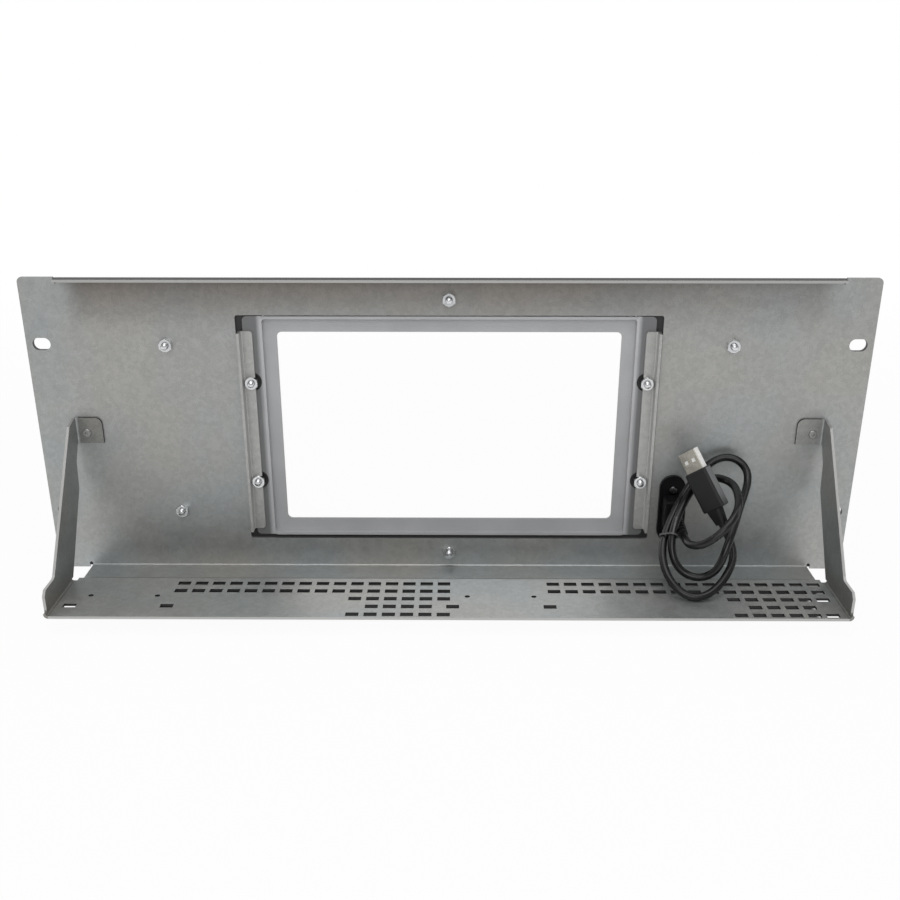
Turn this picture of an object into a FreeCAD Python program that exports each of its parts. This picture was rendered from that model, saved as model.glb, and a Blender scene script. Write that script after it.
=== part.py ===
import FreeCAD, Part
import math
import os

# Rack monitor carrier, sizes in millimetres
# The origin lies between the four rack slots, on the ears' rear face, which seats on the rack's rails
# +X is right seen from behind, +Y is the rack's front, +Z is up, so "depth" runs towards -Y

# Rack panel
PANEL_WIDTH = 482.6
PANEL_HEIGHT = 177.0
EAR_RADIUS = 3.0
SLOT_EDGE_DISTANCE = 8.75
SLOT_SPACING_Z = 101.6
SLOT_LENGTH = 10.3
SLOT_WIDTH = 7.0

# Sheet metal
CHASSIS_SHEET = 1.5
FASCIA_SHEET = 1.5
TRAY_SHEET = 1.5
CLAMP_SHEET = 1.5
BEND_RADIUS = 1.0
CLAMP_BEND_RADIUS = 0.8
TOP_EAR_WIDTH = 22.3
BOTTOM_EAR_WIDTH = 20.5
TOP_FLANGE_DEPTH = 10.0
BOTTOM_FLANGE_TAIL = 3.0
RELIEF_WIDTH = 2.0
FASCIA_INSET = 0.7

# Moulded bezel that the display sits in
WINDOW_WIDTH = 196.8
WINDOW_MARGIN_Z = 31.4
WINDOW_RADIUS = 3.0
BEZEL_CENTRE_Z = 0.3
SIDE_LEDGE = 7.6
TOP_LEDGE = 7.9
PAN_WALL = 1.5
PAN_FLOOR = 1.2
PAN_RADIUS = 3.2
RIM_PROUD = 0.8
BEZEL_PROUD = 1.2
BEZEL_CHAMFER = 0.5
BEZEL_FLANGE_REACH = 9.7
BEZEL_FLANGE_THICKNESS = 1.2
BEZEL_FLANGE_RADIUS = 2.6
BEZEL_HOLE_CLEARANCE = 3.5
FASCIA_WINDOW_CLEARANCE = 0.4
CUTOUT_GAP_TOP = 0.6
CUTOUT_GAP_BOTTOM = 2.6
CUTOUT_GAP_SIDE = 1.6
CUTOUT_RADIUS = 1.5

# Studs and nuts
STUD_DIAMETER = 4.0
STUD_PROUD = 2.7
STUD_CHAMFER = 0.5
STUD_HOLE_CLEARANCE = 0.5
NUT_ACROSS_FLATS = 7.0
NUT_HEIGHT = 3.2
NUT_BORE_CLEARANCE = 0.05
NUT_CHAMFER_ANGLE = 30.0
SIDE_STUD_X = 161.5
SIDE_STUD_Z = 50.5
CENTRE_STUD_MARGIN_TOP = 10.0
CENTRE_STUD_MARGIN_BOTTOM = 11.0

# Clamp strips
CLAMP_END_MARGIN = 6.3
CLAMP_CENTRE_Z = -1.6
CLAMP_LEG_DEPTH = 8.3
CLAMP_INNER_MARGIN = 1.9
CLAMP_CORNER_RADIUS = 2.0
CLAMP_STUD_SPACING = 60.0
CLAMP_STUD_DROP = 1.0
RIM_TO_NUT = 2.7
NUT_TO_BEND = 0.1

# Tray
SHELF_LIFT = 9.7
SHELF_FRONT = 38.5
SHELF_DEPTH = 52.0
TRAY_SIDE_GAP = 0.3
WALL_HEIGHT = 13.3
WALL_SETBACK = 2.5
WALL_CHAMFER = 3.0
WALL_TOP_LENGTH = 15.0
CORNER_RELIEF_WIDTH = 4.5
CORNER_RELIEF_DEPTH = 5.5
FOOT_LENGTH = 16.5

# Gusset arms and their tabs
TAB_HEIGHT = 15.3
TAB_REACH = 16.9
TAB_RADIUS = 4.0
ARM_HEAD_DEPTH = 12.6
ARM_HEAD_DROP = 2.1
ARM_NECK_DEPTH = 8.9
ARM_NECK_DROP = 9.8
ARM_KNEE_DEPTH = 10.7
ARM_KNEE_DROP = 25.3
ARM_KNEE_RADIUS = 5.0
ARM_HEAD_RADIUS = 2.0
ARM_HEEL_SETBACK = 3.1

# Slots and holes of the shelf, repeated in two bays
BAY_FIRST_X = -183.3
BAY_SPACING = 212.8
BAY_COUNT = 2
VENT_WIDTH = 7.2
VENT_DEPTH = 4.4
VENT_PITCH_X = 10.0
VENT_PITCH_Y = 9.8
VENT_FIRST_X = 30.7
VENT_FIRST_ROW = 9.1
VENT_EDGE = 1.0
VENT_ROWS = ((0, 15), (0, 15), (10, 15), (11, 14), (10, 15))
SINGLE_VENT_X = 27.0
SINGLE_VENT_ROW = 3
BAY_HOLE_DIAMETER = 3.0
BAY_HOLE_X = 18.8
BAY_HOLE_SETBACK = 25.6

# Rivets
RIVET_DIAMETER = 3.2
RIVET_HEAD_DIAMETER = 5.6
RIVET_HEAD_DEPTH = 1.1
RIVET_COLLAR_DIAMETER = 4.9
RIVET_COLLAR_HEIGHT = 1.0
RIVET_COLLAR_CHAMFER = 0.3
RIVET_BORE_DIAMETER = 2.0
RIVET_BORE_DEPTH = 1.4
RIVET_CLEARANCE = 0.05
TAB_RIVET_INSET = 7.5
TAB_RIVET_DROP = 1.5
FOOT_RIVET_X = (60.0, 180.0)
FOOT_RIVET_SETBACK = 9.5

# Panel socket
SOCKET_MARGIN = 4.9
SOCKET_LIFT = 40.2
SOCKET_FLANGE_WIDTH = 15.4
SOCKET_FLANGE_LENGTH = 42.0
SOCKET_FLANGE_THICKNESS = 2.5
SOCKET_BODY_WIDTH = 12.0
SOCKET_BODY_HEIGHT = 19.0
SOCKET_BODY_DEPTH = 16.0
SOCKET_BODY_RADIUS = 1.5
SOCKET_BODY_FILLET = 1.0
SOCKET_BACK_WALL = 4.0
SOCKET_OPENING_CLEARANCE = 0.3
RECEPTACLE_HEIGHT = 13.1
RECEPTACLE_WIDTH = 5.7
RECEPTACLE_WALL = 0.3
RECEPTACLE_RADIUS = 0.6
RECEPTACLE_CLEARANCE = 0.05
TONGUE_THICKNESS = 1.9
TONGUE_SIDE_CLEARANCE = 0.7
TONGUE_OFFSET = 0.9
TONGUE_RECESS = 1.2
CONTACT_WIDTH = 1.0
CONTACT_THICKNESS = 0.25
CONTACT_LENGTH = 8.0
CONTACT_PLACES = (-3.5, -1.0, 1.0, 3.5)
SCREW_DIAMETER = 3.0
SCREW_HEAD_DIAMETER = 4.6
SCREW_HEAD_HEIGHT = 1.8
SCREW_HEAD_CHAMFER = 0.5
SCREW_HEAD_GAP = 0.7
SCREW_CLEARANCE = 0.05
RECESS_WIDTH = 0.8
RECESS_LENGTH = 2.8
RECESS_DEPTH = 0.9
BOOT_LENGTH = 26.0
BOOT_ROOT_DIAMETER = 8.0
BOOT_TIP_DIAMETER = 5.9
BOOT_COLLAR = 4.0
BOOT_RIBS = 6
BOOT_GROOVE_DEPTH = 0.7

# Lead, tie and plug
LEAD_DIAMETER = 4.5
ARC_SHARE = 0.45
TIE_STRANDS = (17, 40)
TIE_HEIGHT = 1.0
TIE_THICKNESS = 0.6
TIE_CLEARANCE = 0.6
TIE_TAIL_LENGTH = 10.0
TIE_TAIL_FACE = (-0.21, -0.91, 0.35)
PLUG_LENGTH = 33.6
PLUG_FACE = (-0.63, -0.77, -0.08)
GRIP_ASIDE = -1.2
PLUG_WIDTH = 15.0
PLUG_THICKNESS = 7.3
PLUG_RADIUS = 1.6
PLUG_FILLET = 0.8
PLUG_BOOT_LENGTH = 9.0
PLUG_BOOT_ROOT = (9.6, 6.0)
PLUG_BOOT_TIP = (6.8, 5.4)
PLUG_BOOT_RADIUS = 2.0
SHELL_WIDTH = 12.0
SHELL_THICKNESS = 4.5
SHELL_LENGTH = 12.0
SHELL_WALL = 0.3
SHELL_RADIUS = 0.5
SHELL_SEAT = 6.0
SHELL_HOLE = 2.2
SHELL_HOLE_X = 2.6
SHELL_HOLE_SETBACK = 5.8
PLUG_TONGUE_THICKNESS = 1.9
PLUG_TONGUE_RECESS = 0.4

# The lead's route in loose loops, measured from the tip of the socket's boot to the plug's boot
LEAD_ROUTE = (
    (0.0, 0.0, 0.0), (0.0, -9.0, 0.0), (1.4, -16.0, 0.1), (6.2, -21.5, 2.3), (13.4, -23.0, 7.8),
    (20.1, -21.0, 13.8), (25.2, -15.5, 18.8), (28.2, -7.0, 21.8), (29.4, 2.5, 23.8), (29.4, 11.5, 25.3),
    (26.7, 19.0, 26.0), (21.6, 23.8, 26.0), (15.1, 25.2, 24.3), (9.2, 23.2, 20.5), (4.6, 18.2, 16.3),
    (0.4, 11.5, 12.3), (-3.5, 4.8, 6.9), (-6.3, -1.2, 0.3), (-6.8, -5.0, -6.7), (-5.4, -7.8, -12.7),
    (-1.8, -9.8, -17.9), (3.8, -11.9, -20.9), (10.4, -13.6, -20.9), (16.2, -14.6, -17.5),
    (19.8, -14.4, -11.5), (22.4, -12.5, -3.7), (25.6, -8.5, 3.8), (29.0, -2.0, 9.8), (32.5, 6.5, 14.0),
    (36.6, 15.5, 18.5), (39.6, 22.5, 22.7), (40.5, 28.0, 27.5), (37.6, 32.0, 32.0), (32.2, 34.4, 34.6),
    (26.1, 35.5, 34.3), (20.2, 35.7, 31.1), (13.8, 34.5, 24.9), (6.7, 29.5, 17.8), (0.6, 20.5, 12.2),
    (-4.7, 12.0, 5.8), (-9.2, 4.0, -0.8), (-12.1, -4.5, -7.5), (-11.9, -12.5, -14.2),
    (-9.1, -19.5, -20.0), (-4.0, -24.5, -24.5), (2.8, -27.0, -27.0), (10.6, -26.5, -26.1),
    (17.8, -22.5, -22.2), (24.0, -16.0, -17.0), (28.5, -8.0, -11.4), (27.8, -0.2, -4.0),
    (22.6, 4.0, 5.3),
)

# Places worked out from the sizes above
PANEL_HALF = PANEL_WIDTH / 2
PANEL_TOP = PANEL_HEIGHT / 2
SLOT_X = PANEL_HALF - SLOT_EDGE_DISTANCE
SLOT_Z = SLOT_SPACING_Z / 2
TOP_FLANGE_HALF = PANEL_HALF - TOP_EAR_WIDTH
BOTTOM_FLANGE_HALF = PANEL_HALF - BOTTOM_EAR_WIDTH
CHASSIS_BEND = BEND_RADIUS + CHASSIS_SHEET
FASCIA_REAR = CHASSIS_SHEET
FASCIA_FRONT = CHASSIS_SHEET + FASCIA_SHEET
WINDOW_HEIGHT = PANEL_HEIGHT - 2 * WINDOW_MARGIN_Z
PAN_WIDTH = WINDOW_WIDTH + 2 * (SIDE_LEDGE + PAN_WALL)
PAN_HEIGHT = WINDOW_HEIGHT + 2 * (TOP_LEDGE + PAN_WALL)
BEZEL_FRONT = FASCIA_FRONT + BEZEL_PROUD
LEDGE_REAR = BEZEL_FRONT - PAN_FLOOR
BEZEL_FLANGE_REAR = FASCIA_REAR - BEZEL_FLANGE_THICKNESS
CLAMP_LENGTH = PAN_HEIGHT - 2 * CLAMP_END_MARGIN
CLAMP_STUD_X = PAN_WIDTH / 2 + RIM_TO_NUT + NUT_ACROSS_FLATS / 2
CLAMP_INNER = CLAMP_STUD_X - CLAMP_INNER_MARGIN
CLAMP_OUTER = CLAMP_STUD_X + NUT_ACROSS_FLATS / 2 + NUT_TO_BEND + CLAMP_BEND_RADIUS + CLAMP_SHEET
CLAMP_REAR = BEZEL_FLANGE_REAR - CLAMP_SHEET
CUTOUT_WIDTH = 2 * (CLAMP_OUTER + CUTOUT_GAP_SIDE)
CUTOUT_HEIGHT = PAN_HEIGHT + CUTOUT_GAP_TOP + CUTOUT_GAP_BOTTOM
CUTOUT_CENTRE_Z = BEZEL_CENTRE_Z + (CUTOUT_GAP_TOP - CUTOUT_GAP_BOTTOM) / 2
STUD_RADIUS = STUD_DIAMETER / 2
STUD_HOLE_RADIUS = STUD_RADIUS + STUD_HOLE_CLEARANCE
CHASSIS_STUDS = [(0.0, PAN_HEIGHT / 2 + CENTRE_STUD_MARGIN_TOP)]
CHASSIS_STUDS += [(0.0, -PAN_HEIGHT / 2 - CENTRE_STUD_MARGIN_BOTTOM)]
CHASSIS_STUDS += [(x, z) for x in (-SIDE_STUD_X, SIDE_STUD_X) for z in (-SIDE_STUD_Z, SIDE_STUD_Z)]
CLAMP_STUDS_Z = [side * CLAMP_STUD_SPACING / 2 - CLAMP_STUD_DROP for side in (-1, 1)]
CLAMP_STUDS = [(x, z) for x in (-CLAMP_STUD_X, CLAMP_STUD_X) for z in CLAMP_STUDS_Z]
FLANGE_TOP = -PANEL_TOP + CHASSIS_SHEET
SHELF_TOP = FLANGE_TOP + SHELF_LIFT
SHELF_UNDER = SHELF_TOP - TRAY_SHEET
SHELF_REAR = -SHELF_FRONT - SHELF_DEPTH
TRAY_BEND = BEND_RADIUS + TRAY_SHEET
TRAY_HALF = BOTTOM_FLANGE_HALF - TRAY_SIDE_GAP
TRAY_INNER = TRAY_HALF - TRAY_SHEET
FOOT_HALF = TRAY_HALF - CORNER_RELIEF_WIDTH
FOOT_TOP = FLANGE_TOP + TRAY_SHEET
BOTTOM_FLANGE_REAR = -SHELF_FRONT - TRAY_SHEET - BOTTOM_FLANGE_TAIL
TAB_TOP = TAB_HEIGHT / 2
TAB_RIVET_X = TRAY_HALF - TAB_RIVET_INSET
FOOT_RIVET_Y = FOOT_RIVET_SETBACK - SHELF_FRONT
BAY_CENTRES = [BAY_FIRST_X + BAY_SPACING * bay for bay in range(BAY_COUNT)]
RIVET_GRIP = CHASSIS_SHEET + TRAY_SHEET
SOCKET_X = CUTOUT_WIDTH / 2 + SOCKET_MARGIN + SOCKET_FLANGE_WIDTH / 2
SOCKET_CENTRE_Z = SOCKET_LIFT - PANEL_TOP
SCREW_OFFSET = SOCKET_BODY_HEIGHT / 2 + SCREW_HEAD_DIAMETER / 2 + SCREW_HEAD_GAP
SOCKET_SCREWS_Z = [SOCKET_CENTRE_Z - SCREW_OFFSET, SOCKET_CENTRE_Z + SCREW_OFFSET]
POCKET_FLOOR = SOCKET_BACK_WALL - SOCKET_BODY_DEPTH
LEAD_EXIT = FreeCAD.Vector(SOCKET_X, -SOCKET_BODY_DEPTH - BOOT_LENGTH, SOCKET_CENTRE_Z)
LEAD_POINTS = [LEAD_EXIT + FreeCAD.Vector(*point) for point in LEAD_ROUTE]
SEAT_FLOOR = PLUG_LENGTH - SHELL_SEAT
SHELL_FRONT = PLUG_LENGTH + SHELL_LENGTH
TONGUE_FACE = SHELL_THICKNESS / 2 - SHELL_WALL - PLUG_TONGUE_THICKNESS

REAR = FreeCAD.Vector(0, -1, 0)
UP = FreeCAD.Vector(0, 0, 1)
MARGIN = 5.0
TINY = 1e-6


def vec(x, y, z):
    return FreeCAD.Vector(x, y, z)


def on_xz(points, y):
    return [vec(x, y, z) for x, z in points]


def on_yz(points, x):
    return [vec(x, y, z) for y, z in points]


def on_xy(points, z):
    return [vec(x, y, z) for x, y in points]


def rounded_outline(points, radii):
    """Closed wire through the points, each corner rounded by its own radius, 0 for a sharp one."""
    count = len(points)
    corners = []
    for index, (corner, radius) in enumerate(zip(points, radii)):
        back = (points[index - 1] - corner).normalize()
        ahead = (points[(index + 1) % count] - corner).normalize()
        half = back.getAngle(ahead) / 2
        setback = radius / math.tan(half)
        middle = (back + ahead).normalize() * (radius / math.sin(half) - radius)
        corners.append((corner + back * setback, corner + middle, corner + ahead * setback))
    edges = []
    for (enter, middle, leave), following in zip(corners, corners[1:] + corners[:1]):
        if enter.distanceToPoint(leave) > TINY:
            edges.append(Part.Arc(enter, middle, leave).toShape())
        if leave.distanceToPoint(following[0]) > TINY:
            edges.append(Part.LineSegment(leave, following[0]).toShape())
    return Part.Wire(edges)


def prism(points, radii, travel):
    """Solid of a rounded outline carried along a straight travel."""
    return Part.Face(rounded_outline(points, radii)).extrude(travel)


def rectangle(width, height, centre_x=0.0, centre_z=0.0):
    """The four corners of a rectangle, anticlockwise."""
    left, right = centre_x - width / 2, centre_x + width / 2
    low, high = centre_z - height / 2, centre_z + height / 2
    return [(left, low), (right, low), (right, high), (left, high)]


def plate(width, height, radius, centre_x, centre_z, y_from, y_to):
    """Rounded rectangle in X and Z, between two planes of Y."""
    corners = on_xz(rectangle(width, height, centre_x, centre_z), y_from)
    return prism(corners, [radius] * 4, vec(0, y_to - y_from, 0))


def rod(x, z, radius, y_from, y_to):
    """Round bar along Y, also used as the tool for a hole."""
    return Part.makeCylinder(radius, y_to - y_from, vec(x, y_from, z), vec(0, 1, 0))


def turned(profile, base, axis):
    """Solid of revolution of (radius, height) points about an axis from a base point."""
    points = [vec(radius, 0, height) for radius, height in profile]
    face = Part.Face(Part.makePolygon(points + points[:1]))
    solid = face.revolve(vec(0, 0, 0), UP, 360)
    solid.Placement = FreeCAD.Placement(base, FreeCAD.Rotation(UP, axis))
    return solid


def mirrored(shape):
    """The same piece on the other side of the middle plane."""
    return shape.mirror(vec(0, 0, 0), vec(1, 0, 0))


def edges_on_plane(shape, direction, level):
    """Edges whose ends all lie on the plane at this level along a direction."""
    return [edge for edge in shape.Edges
            if all(abs(vertex.Point.dot(direction) - level) < TINY for vertex in edge.Vertexes)]


def rack_slots(y_from, y_to):
    """The four obround rack slots as cutting tools."""
    return [plate(SLOT_LENGTH, SLOT_WIDTH, SLOT_WIDTH / 2, x, z, y_from, y_to)
            for x in (-SLOT_X, SLOT_X) for z in (-SLOT_Z, SLOT_Z)]


def socket_opening(y_from, y_to):
    """Opening for the socket's receptacle, the same in the chassis and in the fascia."""
    width = RECEPTACLE_WIDTH + 2 * SOCKET_OPENING_CLEARANCE
    height = RECEPTACLE_HEIGHT + 2 * SOCKET_OPENING_CLEARANCE
    return plate(width, height, RECEPTACLE_RADIUS, SOCKET_X, SOCKET_CENTRE_Z, y_from, y_to)


def rivet_seat(base, axis, grip):
    """Countersunk hole for a rivet, from its head's face through what it grips."""
    head = RIVET_HEAD_DIAMETER / 2 + RIVET_CLEARANCE
    shank = RIVET_DIAMETER / 2 + RIVET_CLEARANCE
    return turned([(0, 0), (head, 0), (shank, RIVET_HEAD_DEPTH), (shank, grip), (0, grip)], base, axis)


def rivet(base, axis, grip):
    """Semi-tubular rivet: flush head, shank through the grip and a rolled collar with its bore."""
    head = RIVET_HEAD_DIAMETER / 2
    shank = RIVET_DIAMETER / 2
    collar = RIVET_COLLAR_DIAMETER / 2
    bore = RIVET_BORE_DIAMETER / 2
    top = grip + RIVET_COLLAR_HEIGHT
    profile = [(0, 0), (head, 0), (shank, RIVET_HEAD_DEPTH), (shank, grip), (collar, grip),
               (collar, top - RIVET_COLLAR_CHAMFER), (collar - RIVET_COLLAR_CHAMFER, top),
               (bore, top), (bore, top - RIVET_BORE_DEPTH), (0, top - RIVET_BORE_DEPTH)]
    return turned(profile, base, axis)


def tab_rivet_places():
    base_y = CHASSIS_SHEET
    return [(vec(x, base_y, -TAB_RIVET_DROP), REAR) for x in (-TAB_RIVET_X, TAB_RIVET_X)]


def foot_rivet_places():
    return [(vec(side * x, FOOT_RIVET_Y, -PANEL_TOP), UP) for side in (-1, 1) for x in FOOT_RIVET_X]


def chassis_flange(half_width, edge_z, rear_y):
    """Bend and flange along the panel's top (positive edge) or bottom (negative edge)."""
    side = math.copysign(1.0, edge_z)
    inner_z = edge_z - side * CHASSIS_SHEET
    start_z = edge_z - side * CHASSIS_BEND
    outline = [(CHASSIS_SHEET, start_z), (CHASSIS_SHEET, edge_z), (rear_y, edge_z),
               (rear_y, inner_z), (0.0, inner_z), (0.0, start_z)]
    radii = [0, CHASSIS_BEND, 0, 0, BEND_RADIUS, 0]
    return prism(on_yz(outline, -half_width), radii, vec(2 * half_width, 0, 0))


def make_chassis_panel():
    """Galvanised panel with rack ears, flanges folded to the rear and all its openings."""
    outline = []
    radii = []
    for side, half in ((-1, BOTTOM_FLANGE_HALF), (1, TOP_FLANGE_HALF)):
        edge = side * PANEL_TOP
        bend = side * (PANEL_TOP - CHASSIS_BEND)
        ear = half + RELIEF_WIDTH
        stretch = [(-PANEL_HALF, edge), (-ear, edge), (-ear, bend)]
        stretch += [(-x, z) for x, z in reversed(stretch)]
        outline += stretch if side < 0 else stretch[::-1]
        radii += [EAR_RADIUS, 0, 0, 0, 0, EAR_RADIUS]
    panel = prism(on_xz(outline, 0), radii, vec(0, CHASSIS_SHEET, 0))
    top = chassis_flange(TOP_FLANGE_HALF, PANEL_TOP, CHASSIS_SHEET - TOP_FLANGE_DEPTH)
    bottom = chassis_flange(BOTTOM_FLANGE_HALF, -PANEL_TOP, BOTTOM_FLANGE_REAR)
    panel = panel.fuse([top, bottom]).removeSplitter()
    low, high = -MARGIN, CHASSIS_SHEET + MARGIN
    tools = rack_slots(low, high)
    tools.append(plate(CUTOUT_WIDTH, CUTOUT_HEIGHT, CUTOUT_RADIUS, 0, CUTOUT_CENTRE_Z, low, high))
    tools.append(socket_opening(low, high))
    tools += [rod(x, z, STUD_HOLE_RADIUS, low, high) for x, z in CHASSIS_STUDS]
    tools += [rod(SOCKET_X, z, SCREW_DIAMETER / 2 + SCREW_CLEARANCE, low, high) for z in SOCKET_SCREWS_Z]
    for half, side in ((TOP_FLANGE_HALF, 1), (BOTTOM_FLANGE_HALF, -1)):
        root_z = side * (PANEL_TOP - CHASSIS_BEND)
        relief_x = half + RELIEF_WIDTH / 2
        tools += [rod(x, root_z, RELIEF_WIDTH / 2, low, high) for x in (-relief_x, relief_x)]
    tools += [rivet_seat(base, axis, RIVET_GRIP) for base, axis in tab_rivet_places() + foot_rivet_places()]
    return panel.cut(tools)


def make_front_fascia():
    """Black plate on the rack side, a little smaller than the chassis, with the bezel's window."""
    inset = 2 * FASCIA_INSET
    radius = EAR_RADIUS - FASCIA_INSET
    fascia = plate(PANEL_WIDTH - inset, PANEL_HEIGHT - inset, radius, 0, 0, FASCIA_REAR, FASCIA_FRONT)
    low, high = FASCIA_REAR - MARGIN, FASCIA_FRONT + MARGIN
    gap = 2 * FASCIA_WINDOW_CLEARANCE
    window_radius = PAN_RADIUS + FASCIA_WINDOW_CLEARANCE
    window = plate(PAN_WIDTH + gap, PAN_HEIGHT + gap, window_radius, 0, BEZEL_CENTRE_Z, low, high)
    return fascia.cut(rack_slots(low, high) + [window, socket_opening(low, high)])


def pan_inside(y_from, y_to):
    """Room inside the bezel's rim, between two planes of Y."""
    return plate(PAN_WIDTH - 2 * PAN_WALL, PAN_HEIGHT - 2 * PAN_WALL, PAN_RADIUS - PAN_WALL,
                 0, BEZEL_CENTRE_Z, y_from, y_to)


def make_bezel_frame():
    """Flat front of the bezel inside its rim, with the window and the ledge that the display lies on."""
    window = plate(WINDOW_WIDTH, WINDOW_HEIGHT, WINDOW_RADIUS, 0, BEZEL_CENTRE_Z, LEDGE_REAR, BEZEL_FRONT)
    return pan_inside(LEDGE_REAR, BEZEL_FRONT).cut(window)


def make_bezel_rim():
    """Rim of the bezel, round the display, with the side flanges that lie on the fascia."""
    rim = plate(PAN_WIDTH, PAN_HEIGHT, PAN_RADIUS, 0, BEZEL_CENTRE_Z, -RIM_PROUD, BEZEL_FRONT)
    rim = rim.makeChamfer(BEZEL_CHAMFER, edges_on_plane(rim, -REAR, BEZEL_FRONT))
    flange = plate(PAN_WIDTH + 2 * BEZEL_FLANGE_REACH, PAN_HEIGHT, BEZEL_FLANGE_RADIUS, 0, BEZEL_CENTRE_Z,
                   BEZEL_FLANGE_REAR, FASCIA_REAR)
    hole_radius = STUD_RADIUS + BEZEL_HOLE_CLEARANCE
    holes = [rod(x, z, hole_radius, BEZEL_FLANGE_REAR, FASCIA_REAR) for x, z in CLAMP_STUDS]
    return flange.cut(holes).fuse(rim).cut(pan_inside(-RIM_PROUD, BEZEL_FRONT)).removeSplitter()


def make_clamp():
    """Right-hand angle strip: a base with two open notches and a leg that stands to the rear."""
    low = CLAMP_CENTRE_Z - CLAMP_LENGTH / 2
    high = CLAMP_CENTRE_Z + CLAMP_LENGTH / 2
    tip = BEZEL_FLANGE_REAR - CLAMP_LEG_DEPTH
    outer_radius = CLAMP_BEND_RADIUS + CLAMP_SHEET
    leg_inner = CLAMP_OUTER - CLAMP_SHEET
    section = [(CLAMP_INNER, BEZEL_FLANGE_REAR), (CLAMP_OUTER, BEZEL_FLANGE_REAR), (CLAMP_OUTER, tip),
               (leg_inner, tip), (leg_inner, CLAMP_REAR), (CLAMP_INNER, CLAMP_REAR)]
    strip = prism(on_xy(section, low), [0, outer_radius, 0, 0, CLAMP_BEND_RADIUS, 0], vec(0, 0, high - low))
    reach = CLAMP_OUTER - CLAMP_INNER + MARGIN
    outline = rectangle(reach, CLAMP_LENGTH, CLAMP_INNER + reach / 2, CLAMP_CENTRE_Z)
    radii = [CLAMP_CORNER_RADIUS, 0, 0, CLAMP_CORNER_RADIUS]
    strip = strip.common(prism(on_xz(outline, tip - MARGIN), radii, vec(0, CLAMP_LEG_DEPTH + 2 * MARGIN, 0)))
    notch_reach = CLAMP_INNER_MARGIN + MARGIN
    notch_x = CLAMP_STUD_X - notch_reach / 2
    tools = []
    for z in CLAMP_STUDS_Z:
        tools.append(plate(notch_reach, 2 * STUD_HOLE_RADIUS, 0, notch_x, z, CLAMP_REAR, BEZEL_FLANGE_REAR))
        tools.append(rod(CLAMP_STUD_X, z, STUD_HOLE_RADIUS, CLAMP_REAR, BEZEL_FLANGE_REAR))
    return strip.cut(tools)


def make_studs(places, seat_y):
    """Studs welded to the fascia's rear, long enough to stand out of the nut on its seat."""
    length = FASCIA_REAR - seat_y + NUT_HEIGHT + STUD_PROUD
    profile = [(0, 0), (STUD_RADIUS, 0), (STUD_RADIUS, length - STUD_CHAMFER),
               (STUD_RADIUS - STUD_CHAMFER, length), (0, length)]
    return Part.makeCompound([turned(profile, vec(x, FASCIA_REAR, z), REAR) for x, z in places])


def make_nuts(places, seat_y):
    """Hexagon nuts, chamfered at both ends, on their seat."""
    flat = NUT_ACROSS_FLATS / 2
    corner = NUT_ACROSS_FLATS / math.sqrt(3)
    drop = (corner - flat) * math.tan(math.radians(NUT_CHAMFER_ANGLE))
    barrel = [(0, 0), (flat, 0), (corner, drop), (corner, NUT_HEIGHT - drop),
              (flat, NUT_HEIGHT), (0, NUT_HEIGHT)]
    turns = [math.radians(30 + 60 * step) for step in range(6)]
    hexagon = [vec(corner * math.cos(turn), corner * math.sin(turn), 0) for turn in turns]
    nut = prism(hexagon, [0] * 6, vec(0, 0, NUT_HEIGHT)).common(turned(barrel, vec(0, 0, 0), UP))
    nut = nut.cut(Part.makeCylinder(STUD_RADIUS + NUT_BORE_CLEARANCE, NUT_HEIGHT))
    nuts = []
    for x, z in places:
        placed = nut.copy()
        placed.Placement = FreeCAD.Placement(vec(x, seat_y, z), FreeCAD.Rotation(UP, REAR))
        nuts.append(placed)
    return Part.makeCompound(nuts)


def tray_silhouette():
    """Side view of the tray: shelf, low wall and the gusset arm that rises to its tab."""
    wall_top = SHELF_TOP + WALL_HEIGHT
    wall_rear = SHELF_REAR + WALL_SETBACK
    bend_top = SHELF_UNDER + TRAY_BEND
    relief_y = -SHELF_FRONT - CORNER_RELIEF_DEPTH
    return [
        ((SHELF_REAR, SHELF_UNDER - MARGIN), 0),
        ((SHELF_REAR, bend_top), 0),
        ((wall_rear, bend_top), 0),
        ((wall_rear, wall_top - WALL_CHAMFER), 0),
        ((wall_rear + WALL_CHAMFER, wall_top), 0),
        ((wall_rear + WALL_CHAMFER + WALL_TOP_LENGTH, wall_top), ARM_KNEE_RADIUS),
        ((-ARM_HEAD_DEPTH, TAB_TOP - ARM_HEAD_DROP), ARM_HEAD_RADIUS),
        ((-TRAY_BEND, TAB_TOP), 0),
        ((-TRAY_BEND, -TAB_TOP), 0),
        ((-ARM_NECK_DEPTH, -TAB_TOP - ARM_NECK_DROP), ARM_KNEE_RADIUS),
        ((-ARM_KNEE_DEPTH, -TAB_TOP - ARM_KNEE_DROP), ARM_KNEE_RADIUS),
        ((-SHELF_FRONT - ARM_HEEL_SETBACK, bend_top), 0),
        ((relief_y, bend_top), 0),
        ((relief_y, SHELF_UNDER - MARGIN), 0),
    ]


def tray_tab():
    """Right-hand tab: a bend from the arm and a plate that lies on the panel."""
    bend_end = TRAY_HALF - TRAY_BEND
    bend = [(TRAY_HALF, -TRAY_BEND), (TRAY_HALF, 0), (bend_end, 0), (bend_end, -TRAY_SHEET),
            (TRAY_INNER, -TRAY_SHEET), (TRAY_INNER, -TRAY_BEND)]
    corner = prism(on_xy(bend, -TAB_TOP), [0, TRAY_BEND, 0, 0, BEND_RADIUS, 0], vec(0, 0, TAB_HEIGHT))
    tip = TRAY_HALF - TAB_REACH
    leaf = rectangle(bend_end - tip, TAB_HEIGHT, (bend_end + tip) / 2)
    return corner.fuse(prism(on_xz(leaf, -TRAY_SHEET), [0, 0, 0, TAB_RADIUS], vec(0, TRAY_SHEET, 0)))


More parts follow.
